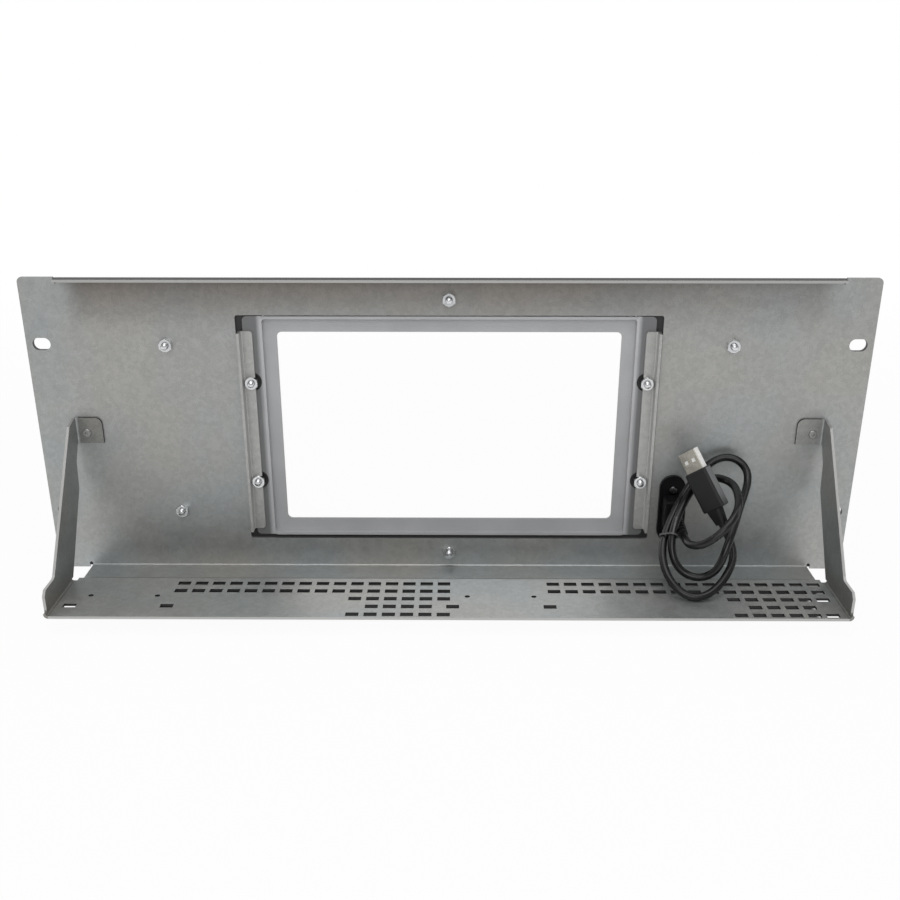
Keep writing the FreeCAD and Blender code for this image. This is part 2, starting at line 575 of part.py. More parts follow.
def tray_foot():
    """Front edge of the shelf: folded down as a riser and forward as a foot on the bottom flange."""
    joint_y = -SHELF_FRONT - CORNER_RELIEF_DEPTH
    riser_rear = -SHELF_FRONT - TRAY_SHEET
    toe = FOOT_LENGTH - SHELF_FRONT
    section = [(joint_y, SHELF_TOP), (-SHELF_FRONT, SHELF_TOP), (-SHELF_FRONT, FOOT_TOP), (toe, FOOT_TOP),
               (toe, FLANGE_TOP), (riser_rear, FLANGE_TOP), (riser_rear, SHELF_UNDER), (joint_y, SHELF_UNDER)]
    radii = [0, TRAY_BEND, BEND_RADIUS, 0, 0, TRAY_BEND, BEND_RADIUS, 0]
    return prism(on_yz(section, -FOOT_HALF), radii, vec(2 * FOOT_HALF, 0, 0))


def shelf_tools():
    """Slots and holes of both bays, where they lie on the shelf's flat."""
    flat_half = TRAY_HALF - TRAY_BEND - VENT_EDGE
    low = SHELF_UNDER - MARGIN
    tools = []
    for centre in BAY_CENTRES:
        places = []
        for row, (first, last) in enumerate(VENT_ROWS):
            first_x = centre + VENT_FIRST_X
            places += [(first_x + VENT_PITCH_X * column, row) for column in range(first, last + 1)]
        places += [(centre - SINGLE_VENT_X, SINGLE_VENT_ROW), (centre + SINGLE_VENT_X, SINGLE_VENT_ROW)]
        for x, row in places:
            rear = -SHELF_FRONT - VENT_FIRST_ROW - VENT_PITCH_Y * row - VENT_DEPTH / 2
            if abs(x) + VENT_WIDTH / 2 < flat_half and rear > SHELF_REAR + VENT_EDGE:
                corner = vec(x - VENT_WIDTH / 2, rear, low)
                tools.append(Part.makeBox(VENT_WIDTH, VENT_DEPTH, TRAY_SHEET + 2 * MARGIN, corner))
        for x in (centre - BAY_HOLE_X, centre + BAY_HOLE_X):
            if abs(x) + BAY_HOLE_DIAMETER / 2 < flat_half:
                base = vec(x, -SHELF_FRONT - BAY_HOLE_SETBACK, low)
                tools.append(Part.makeCylinder(BAY_HOLE_DIAMETER / 2, TRAY_SHEET + 2 * MARGIN, base))
    return tools


def make_rear_tray():
    """Folded tray: slotted shelf, walls, gusset arms with tabs, riser and foot in one sheet."""
    head = TAB_TOP + MARGIN
    section = [(-TRAY_HALF, head), (-TRAY_HALF, SHELF_UNDER), (TRAY_HALF, SHELF_UNDER), (TRAY_HALF, head),
               (TRAY_INNER, head), (TRAY_INNER, SHELF_TOP), (-TRAY_INNER, SHELF_TOP), (-TRAY_INNER, head)]
    radii = [0, TRAY_BEND, TRAY_BEND, 0, 0, BEND_RADIUS, BEND_RADIUS, 0]
    trough = prism(on_xz(section, SHELF_REAR), radii, vec(0, -SHELF_REAR, 0))
    points, corner_radii = zip(*tray_silhouette())
    side_view = prism(on_yz(points, -TRAY_HALF - MARGIN), corner_radii, vec(2 * (TRAY_HALF + MARGIN), 0, 0))
    tab = tray_tab()
    tray = trough.common(side_view).fuse([tab, mirrored(tab), tray_foot()]).removeSplitter()
    seats = [rivet_seat(base, axis, RIVET_GRIP) for base, axis in tab_rivet_places() + foot_rivet_places()]
    return tray.cut(shelf_tools() + seats)


def make_rivets(places):
    return Part.makeCompound([rivet(base, axis, RIVET_GRIP) for base, axis in places])


def receptacle_plate(shrink, y_from, y_to):
    """Rounded outline of the receptacle, shrunk all round, between two planes of Y."""
    width = RECEPTACLE_WIDTH - 2 * shrink
    height = RECEPTACLE_HEIGHT - 2 * shrink
    return plate(width, height, RECEPTACLE_RADIUS - shrink, SOCKET_X, SOCKET_CENTRE_Z, y_from, y_to)


def make_socket_housing():
    """Panel socket: obround flange, a moulded body to the rear and a pocket for the receptacle."""
    half_flange = SOCKET_FLANGE_WIDTH / 2
    flange = plate(SOCKET_FLANGE_WIDTH, SOCKET_FLANGE_LENGTH, half_flange, SOCKET_X, SOCKET_CENTRE_Z,
                   -SOCKET_FLANGE_THICKNESS, 0)
    body = plate(SOCKET_BODY_WIDTH, SOCKET_BODY_HEIGHT, SOCKET_BODY_RADIUS, SOCKET_X, SOCKET_CENTRE_Z,
                 -SOCKET_BODY_DEPTH, 0)
    body = body.makeFillet(SOCKET_BODY_FILLET, edges_on_plane(body, REAR, SOCKET_BODY_DEPTH))
    hole_radius = SCREW_DIAMETER / 2 + SCREW_CLEARANCE
    holes = [rod(SOCKET_X, z, hole_radius, -SOCKET_BODY_DEPTH, MARGIN) for z in SOCKET_SCREWS_Z]
    pocket = receptacle_plate(-RECEPTACLE_CLEARANCE, POCKET_FLOOR, MARGIN)
    return flange.fuse(body).removeSplitter().cut(holes + [pocket])


def make_socket_shell():
    """Folded metal receptacle, open at the front, flush with the fascia."""
    outer = receptacle_plate(0, POCKET_FLOOR, FASCIA_FRONT)
    return outer.cut(receptacle_plate(RECEPTACLE_WALL, POCKET_FLOOR - MARGIN, FASCIA_FRONT + MARGIN))


def tongue_size():
    """Depth and height of the receptacle's tongue."""
    height = RECEPTACLE_HEIGHT - 2 * (RECEPTACLE_WALL + TONGUE_SIDE_CLEARANCE)
    return FASCIA_FRONT - TONGUE_RECESS - POCKET_FLOOR, height


def make_socket_tongue():
    """Plastic tongue that stands on the pocket's floor inside the receptacle."""
    depth, height = tongue_size()
    corner = vec(SOCKET_X + TONGUE_OFFSET - TONGUE_THICKNESS / 2, POCKET_FLOOR, SOCKET_CENTRE_Z - height / 2)
    return Part.makeBox(TONGUE_THICKNESS, depth, height, corner)


def make_socket_contacts():
    """Four contact springs on the tongue's inner face."""
    depth, _ = tongue_size()
    x = SOCKET_X + TONGUE_OFFSET - TONGUE_THICKNESS / 2 - CONTACT_THICKNESS
    y = POCKET_FLOOR + (depth - CONTACT_LENGTH) / 2
    bars = [Part.makeBox(CONTACT_THICKNESS, CONTACT_LENGTH, CONTACT_WIDTH,
                         vec(x, y, SOCKET_CENTRE_Z + place - CONTACT_WIDTH / 2)) for place in CONTACT_PLACES]
    return Part.makeCompound(bars)


def make_socket_screws():
    """Pan-head screws through the socket's flange into the chassis sheet."""
    shank = SCREW_DIAMETER / 2
    head = SCREW_HEAD_DIAMETER / 2
    seat = CHASSIS_SHEET + SOCKET_FLANGE_THICKNESS
    top = seat + SCREW_HEAD_HEIGHT
    profile = [(0, 0), (shank, 0), (shank, seat), (head, seat), (head, top - SCREW_HEAD_CHAMFER),
               (head - SCREW_HEAD_CHAMFER, top), (0, top)]
    screws = []
    for z in SOCKET_SCREWS_Z:
        screw = turned(profile, vec(SOCKET_X, CHASSIS_SHEET, z), REAR)
        floor = CHASSIS_SHEET - top
        upright = plate(RECESS_WIDTH, RECESS_LENGTH, 0, SOCKET_X, z, floor - MARGIN, floor + RECESS_DEPTH)
        across = plate(RECESS_LENGTH, RECESS_WIDTH, 0, SOCKET_X, z, floor - MARGIN, floor + RECESS_DEPTH)
        screws.append(screw.cut([upright, across]))
    return Part.makeCompound(screws)


def make_socket_strain_relief():
    """Tapered boot behind the socket's body, ribbed so that it bends, where the lead leaves it."""
    root = BOOT_ROOT_DIAMETER / 2
    tip = BOOT_TIP_DIAMETER / 2
    pitch = (BOOT_LENGTH - BOOT_COLLAR) / BOOT_RIBS
    profile = [(0, 0), (root, 0), (root, BOOT_COLLAR)]
    for rib in range(BOOT_RIBS):
        start = BOOT_COLLAR + pitch * rib
        radius = root + (tip - root) * (rib + 1) / BOOT_RIBS
        profile += [(radius - BOOT_GROOVE_DEPTH, start), (radius - BOOT_GROOVE_DEPTH, start + pitch / 2),
                    (radius, start + pitch / 2), (radius, start + pitch)]
    profile.append((0, BOOT_LENGTH))
    return turned(profile, vec(SOCKET_X, -SOCKET_BODY_DEPTH, SOCKET_CENTRE_Z), REAR)


def lead_path():
    """Straight runs joined by tangent arcs, each arc as large as its two runs allow."""
    edges = []
    radii = []
    start = LEAD_EXIT
    for before, corner, after in zip(LEAD_POINTS, LEAD_POINTS[1:], LEAD_POINTS[2:]):
        back = before - corner
        ahead = after - corner
        half = back.getAngle(ahead) / 2
        setback = ARC_SHARE * min(back.Length, ahead.Length)
        radius = setback * math.tan(half)
        back.normalize()
        ahead.normalize()
        enter = corner + back * setback
        leave = corner + ahead * setback
        middle = corner + (back + ahead).normalize() * (radius / math.sin(half) - radius)
        edges.append(Part.LineSegment(start, enter).toShape())
        edges.append(Part.Arc(enter, middle, leave).toShape())
        radii.append(radius)
        start = leave
    edges.append(Part.LineSegment(start, LEAD_POINTS[-1]).toShape())
    return Part.Wire(edges), radii


def make_usb_lead():
    """Round lead swept along its route; the radii and the volume are printed as a test."""
    path, radii = lead_path()
    section = Part.makeCircle(LEAD_DIAMETER / 2, LEAD_EXIT, LEAD_POINTS[1] - LEAD_EXIT)
    lead = path.makePipeShell([Part.Wire(section)], True, False)
    expected = math.pi * LEAD_DIAMETER ** 2 / 4 * path.Length
    print("lead radii", [round(radius, 1) for radius in radii])
    print("lead length %.1f, volume %.1f of %.1f" % (path.Length, lead.Volume, expected))
    return lead


def strand(index):
    """Place and direction of the lead beside one of its route's points."""
    before, point, after = LEAD_POINTS[index - 1:index + 2]
    return (before + point * 6 + after) * 0.125, (after - before).normalize()


def make_lead_tie():
    """Thin tie looped round two strands of the lead, with its twisted tail along the first."""
    (first, run), (second, other_run) = [strand(index) for index in TIE_STRANDS]
    axis = (run + other_run).normalize()
    second = second - axis * axis.dot(second - first)
    along = (second - first).normalize()
    inner = LEAD_DIAMETER / 2 + TIE_CLEARANCE

    def stadium(radius):
        aside = axis.cross(along) * radius
        reach = along * radius
        corners = [first - reach - aside, second + reach - aside, second + reach + aside, first - reach + aside]
        return prism(corners, [radius] * 4, axis * TIE_HEIGHT)

    across = axis.cross(vec(*TIE_TAIL_FACE)).normalize()
    face = across.cross(axis)
    near = first + face * inner
    far = near + face * TIE_THICKNESS
    half = across * (TIE_HEIGHT / 2)
    tail = prism([near - half, far - half, far + half, near + half], [0] * 4, axis * -TIE_TAIL_LENGTH)
    return stadium(inner + TIE_THICKNESS).cut(stadium(inner)).fuse(tail)


def on_plug(shape, aside=0.0):
    """Places a piece made along +Z from the lead's end, or aside of it along X, wide face to +Y."""
    tail = LEAD_POINTS[-1]
    along = tail - LEAD_POINTS[-2]
    face = vec(*PLUG_FACE)
    turn = FreeCAD.Rotation(face.cross(along), face, along, "ZYX")
    placed = shape.copy()
    placed.Placement = FreeCAD.Placement(tail + turn.multVec(vec(aside, 0, 0)), turn)
    return placed


def bar(width, thickness, radius, low, high):
    """Rounded bar along Z about its own axis."""
    return prism(on_xy(rectangle(width, thickness), low), [radius] * 4, vec(0, 0, high - low))


def make_plug_strain_relief():
    """Tapered tail of the plug, where the lead goes in."""
    tip = rounded_outline(on_xy(rectangle(*PLUG_BOOT_TIP), 0), [PLUG_BOOT_RADIUS] * 4)
    root = rounded_outline(on_xy(rectangle(*PLUG_BOOT_ROOT), PLUG_BOOT_LENGTH), [PLUG_BOOT_RADIUS] * 4)
    return on_plug(Part.makeLoft([tip, root], True, True))


def make_plug_overmould():
    """Moulded grip with eased ends and the seat of the plug's shell."""
    grip = bar(PLUG_WIDTH, PLUG_THICKNESS, PLUG_RADIUS, PLUG_BOOT_LENGTH, PLUG_LENGTH)
    ends = edges_on_plane(grip, UP, PLUG_BOOT_LENGTH) + edges_on_plane(grip, UP, PLUG_LENGTH)
    grip = grip.makeFillet(PLUG_FILLET, ends)
    seat = bar(SHELL_WIDTH, SHELL_THICKNESS, SHELL_RADIUS, SEAT_FLOOR, PLUG_LENGTH + MARGIN)
    return on_plug(grip.cut(seat), GRIP_ASIDE)


def make_plug_shell():
    """Folded metal shell with two square holes in each wide face."""
    outer = bar(SHELL_WIDTH, SHELL_THICKNESS, SHELL_RADIUS, SEAT_FLOOR, SHELL_FRONT)
    bore_width = SHELL_WIDTH - 2 * SHELL_WALL
    bore_thickness = SHELL_THICKNESS - 2 * SHELL_WALL
    bore_radius = SHELL_RADIUS - SHELL_WALL
    bore = bar(bore_width, bore_thickness, bore_radius, SEAT_FLOOR - MARGIN, SHELL_FRONT + MARGIN)
    low = SHELL_FRONT - SHELL_HOLE_SETBACK - SHELL_HOLE / 2
    depth = SHELL_THICKNESS + 2 * MARGIN
    holes = [Part.makeBox(SHELL_HOLE, depth, SHELL_HOLE, vec(x - SHELL_HOLE / 2, -depth / 2, low))
             for x in (-SHELL_HOLE_X, SHELL_HOLE_X)]
    return on_plug(outer.cut([bore] + holes), GRIP_ASIDE)


def make_plug_tongue():
    """Plastic tongue against the shell's wide wall, behind its two holes."""
    width = SHELL_WIDTH - 2 * SHELL_RADIUS
    corner = vec(-width / 2, TONGUE_FACE, SEAT_FLOOR)
    length = SHELL_FRONT - PLUG_TONGUE_RECESS - SEAT_FLOOR
    return on_plug(Part.makeBox(width, PLUG_TONGUE_THICKNESS, length, corner), GRIP_ASIDE)


def make_plug_contacts():
    """Four contact strips on the plug's tongue."""
    y = TONGUE_FACE - CONTACT_THICKNESS
    low = SHELL_FRONT - PLUG_TONGUE_RECESS - CONTACT_LENGTH
    corners = [vec(place - CONTACT_WIDTH / 2, y, low) for place in CONTACT_PLACES]
    strips = [Part.makeBox(CONTACT_WIDTH, CONTACT_THICKNESS, CONTACT_LENGTH, corner) for corner in corners]
    return Part.makeCompound([on_plug(strip, GRIP_ASIDE) for strip in strips])


def main():
    clamp = make_clamp()
    nodes = {
        "chassis_panel": make_chassis_panel(),
        "front_fascia": make_front_fascia(),
        "bezel_frame": make_bezel_frame(),
        "bezel_rim": make_bezel_rim(),
        "clamp_right": clamp,
        "clamp_left": mirrored(clamp),
        "chassis_studs": make_studs(CHASSIS_STUDS, 0.0),
        "chassis_nuts": make_nuts(CHASSIS_STUDS, 0.0),
        "clamp_studs": make_studs(CLAMP_STUDS, CLAMP_REAR),
        "clamp_nuts": make_nuts(CLAMP_STUDS, CLAMP_REAR),
        "rear_tray": make_rear_tray(),
        "tab_rivets": make_rivets(tab_rivet_places()),
        "tray_rivets": make_rivets(foot_rivet_places()),
        "socket_housing": make_socket_housing(),
        "socket_shell": make_socket_shell(),
        "socket_tongue": make_socket_tongue(),
        "socket_contacts": make_socket_contacts(),
        "socket_screws": make_socket_screws(),
        "socket_strain_relief": make_socket_strain_relief(),
        "usb_lead": make_usb_lead(),
        "lead_tie": make_lead_tie(),
        "plug_strain_relief": make_plug_strain_relief(),
        "plug_overmould": make_plug_overmould(),
        "plug_shell": make_plug_shell(),
        "plug_tongue": make_plug_tongue(),
        "plug_contacts": make_plug_contacts(),
    }
    os.makedirs("parts", exist_ok=True)
    for name, shape in nodes.items():
        shape.exportStep("parts/%s.step" % name)


main()
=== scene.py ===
import math

import bpy
import numpy as np
from bpy.props import FloatProperty, FloatVectorProperty, PointerProperty
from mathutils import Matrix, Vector


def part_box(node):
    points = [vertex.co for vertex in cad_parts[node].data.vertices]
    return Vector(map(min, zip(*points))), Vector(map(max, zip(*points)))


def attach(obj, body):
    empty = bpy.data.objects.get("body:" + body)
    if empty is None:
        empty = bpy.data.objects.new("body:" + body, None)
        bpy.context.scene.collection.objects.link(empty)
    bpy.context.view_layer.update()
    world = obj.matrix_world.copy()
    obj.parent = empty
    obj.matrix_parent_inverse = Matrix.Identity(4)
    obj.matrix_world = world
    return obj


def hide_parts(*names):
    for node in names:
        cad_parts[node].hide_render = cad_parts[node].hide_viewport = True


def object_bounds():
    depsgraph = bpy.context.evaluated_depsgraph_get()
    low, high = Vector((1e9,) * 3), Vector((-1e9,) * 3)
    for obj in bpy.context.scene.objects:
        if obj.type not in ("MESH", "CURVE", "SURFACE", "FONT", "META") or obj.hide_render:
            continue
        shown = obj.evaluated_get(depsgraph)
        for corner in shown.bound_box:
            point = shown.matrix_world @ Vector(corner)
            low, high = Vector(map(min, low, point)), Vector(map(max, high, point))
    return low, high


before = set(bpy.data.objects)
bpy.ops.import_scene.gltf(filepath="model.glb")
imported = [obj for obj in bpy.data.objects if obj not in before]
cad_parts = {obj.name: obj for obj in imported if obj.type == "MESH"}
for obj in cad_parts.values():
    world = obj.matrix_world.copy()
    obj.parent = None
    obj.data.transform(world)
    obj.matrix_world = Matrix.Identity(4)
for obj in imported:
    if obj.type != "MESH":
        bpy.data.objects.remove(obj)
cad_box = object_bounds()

bl_info = {
    "name": "Rack Monitor Carrier",
    "version": (1, 0, 0),
    "blender": (4, 5, 0),
    "location": "View3D > Sidebar > Carrier",
    "description": "Finishes, lead and stage of a rack monitor carrier",
    "category": "Object",
}

BODY = "root"
IMAGE_SIZE = 900
SENSOR = 36.0
ZINC_METALLIC = 0.8
FACING = 0.3

# Places where one finish gives way to another, in metres: a limit, or where a change starts and ends
FLANGE_HALF = 0.2205
FLANGE_SKIN_Z = 0.0866
PANEL_CUT_Z = 0.0855
RACK_SLOT_X = (0.2255, 0.2395)
TOP_LIP_Z = 0.0865
TOP_LIP_Y = -0.0080
# Painted shade under the top flange, tinted brownish: its height, its ends and its smaller share on the
# right
FLANGE_SHADE_Z = (0.052, 0.089)
FLANGE_SHADE_END_X = (0.206, 0.219)
FLANGE_SHADE_FADE_X = (0.08, 0.18)
FLANGE_SHADE_RIGHT_SHARE = 0.65
SHELF_SKIN_Z = -0.0766
SHELF_UNDER_Z = -0.0789
SHELF_FRONT_Y = -0.0425
SHELF_REAR_Y = -0.0895
SHELF_LIP_HALF = 0.2180
SHELF_SLOT_HALF = 0.2160
ARM_EDGE_X = 0.2188
ARM_EDGE_Z = -0.0748
WALL_X = 0.2175
# Painted shade low in the side walls' front corners
WALL_CORNER_Z = (-0.074, -0.058)
TAB_Y = -0.003
TAB_Z = -0.030
# The tabs are darkened, the left one more than the right
TAB_DARKENING_X = (-0.1, 0.1)
TAB_RIGHT_SHARE = 0.5
# Painted highlight on the bezel's rim edge, painted shade on its flange and painted light that leaves it
# darker below
RIM_EDGE_X = (0.1058, 0.1062)
BEZEL_FLANGE_X = (0.1072, 0.1100)
BEZEL_FADE_Z = (-0.060, 0.060)
# Painted light on the upper part of the plug grip's narrow side
GRIP_LIGHT_Z = (-0.034, -0.024)
FLOOR_WHITE_REACH = (0.3, 1.2)
BENEATH_X = (0.208, 0.213)
BENEATH_REAR_Y = (-0.072, -0.066)
BENEATH_FRONT_Y = (-0.004, 0.004)
FAR_FLOOR_Y = (-1.0, -0.45)
ROOM_TURN = (-0.2, 0.2)

# The lead's route in loose loops, measured in metres from the tip of the socket's boot
LEAD_ROUTE = (
    (0.0, 0.0, 0.0), (0.0, -0.009, 0.0), (0.0014, -0.016, 0.0001),
    (0.0062, -0.0215, 0.0023), (0.0134, -0.023, 0.0078), (0.0201, -0.021, 0.0138),
    (0.0252, -0.0155, 0.0188), (0.0282, -0.007, 0.0218), (0.0294, 0.0025, 0.0238),
    (0.0294, 0.0115, 0.0253), (0.0267, 0.019, 0.026), (0.0216, 0.0238, 0.026),
    (0.0151, 0.0252, 0.0243), (0.0092, 0.0232, 0.0205), (0.0046, 0.0182, 0.0163),
    (0.0004, 0.0115, 0.0123), (-0.0035, 0.0048, 0.0069), (-0.0063, -0.0012, 0.0003),
    (-0.0068, -0.005, -0.0067), (-0.0054, -0.0078, -0.0127), (-0.0018, -0.0098, -0.0179),
    (0.0038, -0.0119, -0.0209), (0.0104, -0.0136, -0.0209), (0.0162, -0.0146, -0.0175),
    (0.0198, -0.0144, -0.0115), (0.0224, -0.0125, -0.0037), (0.0256, -0.0085, 0.0038),
    (0.029, -0.002, 0.0098), (0.0325, 0.0065, 0.014), (0.0366, 0.0155, 0.0185),
    (0.0396, 0.0225, 0.0227), (0.0405, 0.028, 0.0275), (0.0376, 0.032, 0.032),
    (0.0322, 0.0344, 0.0346), (0.0261, 0.0355, 0.0343), (0.0202, 0.0357, 0.0311),
    (0.0138, 0.0345, 0.0249), (0.0067, 0.0295, 0.0178), (0.0006, 0.0205, 0.0122),
    (-0.0047, 0.012, 0.0058), (-0.0092, 0.004, -0.0008), (-0.0121, -0.0045, -0.0075),
    (-0.0119, -0.0125, -0.0142), (-0.0091, -0.0195, -0.02), (-0.004, -0.0245, -0.0245),
    (0.0028, -0.027, -0.027), (0.0106, -0.0265, -0.0261), (0.0178, -0.0225, -0.0222),
    (0.024, -0.016, -0.017), (0.0285, -0.008, -0.0114), (0.0278, -0.0002, -0.004),
    (0.0226, 0.004, 0.0053),
)


class CarrierSizes(bpy.types.PropertyGroup):
    """Sizes of the pieces that are added to the frame."""

    lead_exit: FloatVectorProperty(
        name="Lead exit", description="Tip of the socket's boot, where the lead leaves it",
        default=(0.1338, -0.042, -0.0483), subtype="TRANSLATION", unit="LENGTH")
    lead_diameter: FloatProperty(
        name="Lead diameter", description="Outside of the lead's jacket", default=0.0045, unit="LENGTH")
    lead_length: FloatProperty(
        name="Lead length", description="Length of the lead between its two boots",
        default=0.441, unit="LENGTH")
    thread_pitch: FloatProperty(
        name="Thread pitch", description="Rise of the studs' thread in one turn",
        default=0.0007, unit="LENGTH")
    thread_depth: FloatProperty(
        name="Thread depth", description="Depth of the studs' thread", default=0.0004, unit="LENGTH")
    stud_chamfer: FloatProperty(
        name="Stud chamfer", description="Chamfer at the free end of a stud", default=0.0005, unit="LENGTH")
    stud_radius: FloatProperty(
        name="Stud radius", description="Outside radius of the studs' thread", default=0.002, unit="LENGTH")
    side_stud_height: FloatProperty(
        name="Side stud height", description="Height of the side studs above and below the middle",
        default=0.0505, unit="LENGTH")


class CarrierColours(bpy.types.PropertyGroup):
    """Colours of the finishes, as linear values."""

    zinc_cool: FloatVectorProperty(
        name="Zinc, cool", description="Bluish areas of the zinc sheet",
        default=(0.401, 0.422, 0.422), subtype="COLOR", min=0.0, max=1.0)
    zinc_warm: FloatVectorProperty(
        name="Zinc, warm", description="Brownish areas of the zinc sheet",
        default=(0.427, 0.424, 0.408), subtype="COLOR", min=0.0, max=1.0)
    clamp_zinc: FloatVectorProperty(
        name="Clamp zinc", description="Lighter zinc of the display's clamps",
        default=(0.48, 0.48, 0.465), subtype="COLOR", min=0.0, max=1.0)
    # Bare steel at cut edges; also painted light on the clamps' upright legs
    cut_edge_and_leg_light: FloatVectorProperty(
        name="Cut edge", description="Bare steel at the sheets' sheared edges",
        default=(0.50, 0.50, 0.49), subtype="COLOR", min=0.0, max=1.0)
    # Painted shade: dark walls in the rack slots, in the shelf's slots and along the tabs' edges
    cut_wall_shade: FloatVectorProperty(
        name="Punched wall", description="Dark steel inside the shelf's slots and along the tabs",
        default=(0.035, 0.035, 0.035), subtype="COLOR", min=0.0, max=1.0)
    # Painted shade: what is left of the zinc's brightness under the top flange, tinted brownish
    flange_shade_share: FloatVectorProperty(
        name="Stain share", description="What is left of the zinc's brightness right under the top flange",
        default=(0.56, 0.51, 0.48), subtype="COLOR", min=0.0, max=1.0)
    # Painted shade under the shelf and low in the side walls' front corners; the tabs are darkened by the
    # same share
    shade_and_tab_share: FloatVectorProperty(
        name="Dull zinc share", description="What is left of the zinc's brightness on tabs and underside",
        default=(0.68, 0.66, 0.64), subtype="COLOR", min=0.0, max=1.0)
    coating: FloatVectorProperty(
        name="Coating", description="Black coat of the rack side",
        default=(0.018, 0.018, 0.019), subtype="COLOR", min=0.0, max=1.0)
    bezel: FloatVectorProperty(
        name="Bezel", description="Grey moulding of the display bezel",
        default=(0.46, 0.465, 0.475), subtype="COLOR", min=0.0, max=1.0)
    bright_zinc: FloatVectorProperty(
        name="Bright zinc", description="Plated nuts and studs",
        default=(0.70, 0.71, 0.72), subtype="COLOR", min=0.0, max=1.0)
    dull_zinc: FloatVectorProperty(
        name="Dull zinc", description="Plated rivets",
        default=(0.42, 0.42, 0.41), subtype="COLOR", min=0.0, max=1.0)
    blackened: FloatVectorProperty(
        name="Blackened", description="Blackened steel of the socket's screws",
        default=(0.09, 0.09, 0.09), subtype="COLOR", min=0.0, max=1.0)
    jacket: FloatVectorProperty(
        name="Jacket", description="Black jacket of the lead, its boots and the socket",
        default=(0.006, 0.006, 0.007), subtype="COLOR", min=0.0, max=1.0)
    moulding: FloatVectorProperty(
        name="Moulding", description="Black plastic of the plug",
        default=(0.012, 0.012, 0.013), subtype="COLOR", min=0.0, max=1.0)
    # Painted light on the plug grip's narrow side that faces right
    grip_light: FloatVectorProperty(
        name="Grip side", description="Paler narrow side of the plug's grip",
        default=(0.17, 0.173, 0.177), subtype="COLOR", min=0.0, max=1.0)
    nickel: FloatVectorProperty(
        name="Nickel", description="Plated shells of the connectors",
        default=(0.52, 0.50, 0.44), subtype="COLOR", min=0.0, max=1.0)
    # Painted light on the shells' narrow walls that face right
    shell_light: FloatVectorProperty(
        name="Polished nickel", description="Pale narrow walls of the connectors' shells",
        default=(0.97, 0.96, 0.94), subtype="COLOR", min=0.0, max=1.0)
    insulator: FloatVectorProperty(
        name="Insulator", description="Pale tongues of the connectors",
        default=(0.88, 0.87, 0.85), subtype="COLOR", min=0.0, max=1.0)
    gold: FloatVectorProperty(
        name="Gold", description="Plated contacts",
        default=(0.80, 0.58, 0.25), subtype="COLOR", min=0.0, max=1.0)
    tie: FloatVectorProperty(
        name="Tie", description="Dark coated wire of the lead's tie",
        default=(0.06, 0.06, 0.06), subtype="COLOR", min=0.0, max=1.0)
    floor: FloatVectorProperty(
        name="Floor", description="Plain pale floor",
        default=(0.93, 0.93, 0.93), subtype="COLOR", min=0.0, max=1.0)
    floor_shade: FloatVectorProperty(
        name="Floor shade", description="Floor in the narrow gap beneath the tray",
        default=(0.10, 0.10, 0.10), subtype="COLOR", min=0.0, max=1.0)


class CarrierStage(bpy.types.PropertyGroup):
    """Viewpoint and light of the studio."""

    camera_place: FloatVectorProperty(
        name="Camera place", description="Where the camera stands",
        default=(0.005, -0.6427, 0.2036), subtype="TRANSLATION", unit="LENGTH")
    camera_pitch: FloatProperty(
        name="Camera pitch", description="How far the camera looks down",
        default=math.radians(24.5), subtype="ANGLE")
    camera_yaw: FloatProperty(
        name="Camera yaw", description="How far the camera turns to the left",
        default=math.radians(0.4), subtype="ANGLE")
    focal_pixels: FloatProperty(
        name="Focal length", description="Focal length in pixels of the square image", default=1138.7)
    principal_row: FloatProperty(
        name="Principal row", description="Image row, from the top, that the camera's axis meets",
        default=568.7)
    floor_reach: FloatProperty(
        name="Floor reach", description="How far the floor goes to each side", default=6.0, unit="LENGTH")
    floor_glow: FloatProperty(
        name="Floor white", description="Share of plain white in the floor beside the carrier",
        default=0.95, subtype="FACTOR", min=0.0, max=1.0)
    far_white: FloatProperty(
        name="Far floor white", description="Strength of the far floor as metal mirrors it",
        default=0.62, subtype="FACTOR", min=0.0, max=1.0)
    front_white: FloatProperty(
        name="Front room white", description="Strength of the room before the carrier as metal mirrors it",
        default=0.35, subtype="FACTOR", min=0.0, max=1.0)
    world_light: FloatProperty(
        name="Room light", description="Strength of the even light of the room", default=0.42)
    overhead_power: FloatProperty(
        name="Overhead light", description="Power of the soft box above the shelf",
        default=4.6, unit="POWER")
    overhead_place: FloatVectorProperty(
        name="Overhead place", description="Where the soft box above the shelf hangs",
        default=(0.0, -0.35, 1.1), subtype="TRANSLATION", unit="LENGTH")
    front_power: FloatProperty(
        name="Front light", description="Power of the soft box beside the camera",
        default=5.6, unit="POWER")
    front_place: FloatVectorProperty(
        name="Front place", description="Where the soft box beside the camera stands",
        default=(-0.1, -1.5, 0.75), subtype="TRANSLATION", unit="LENGTH")


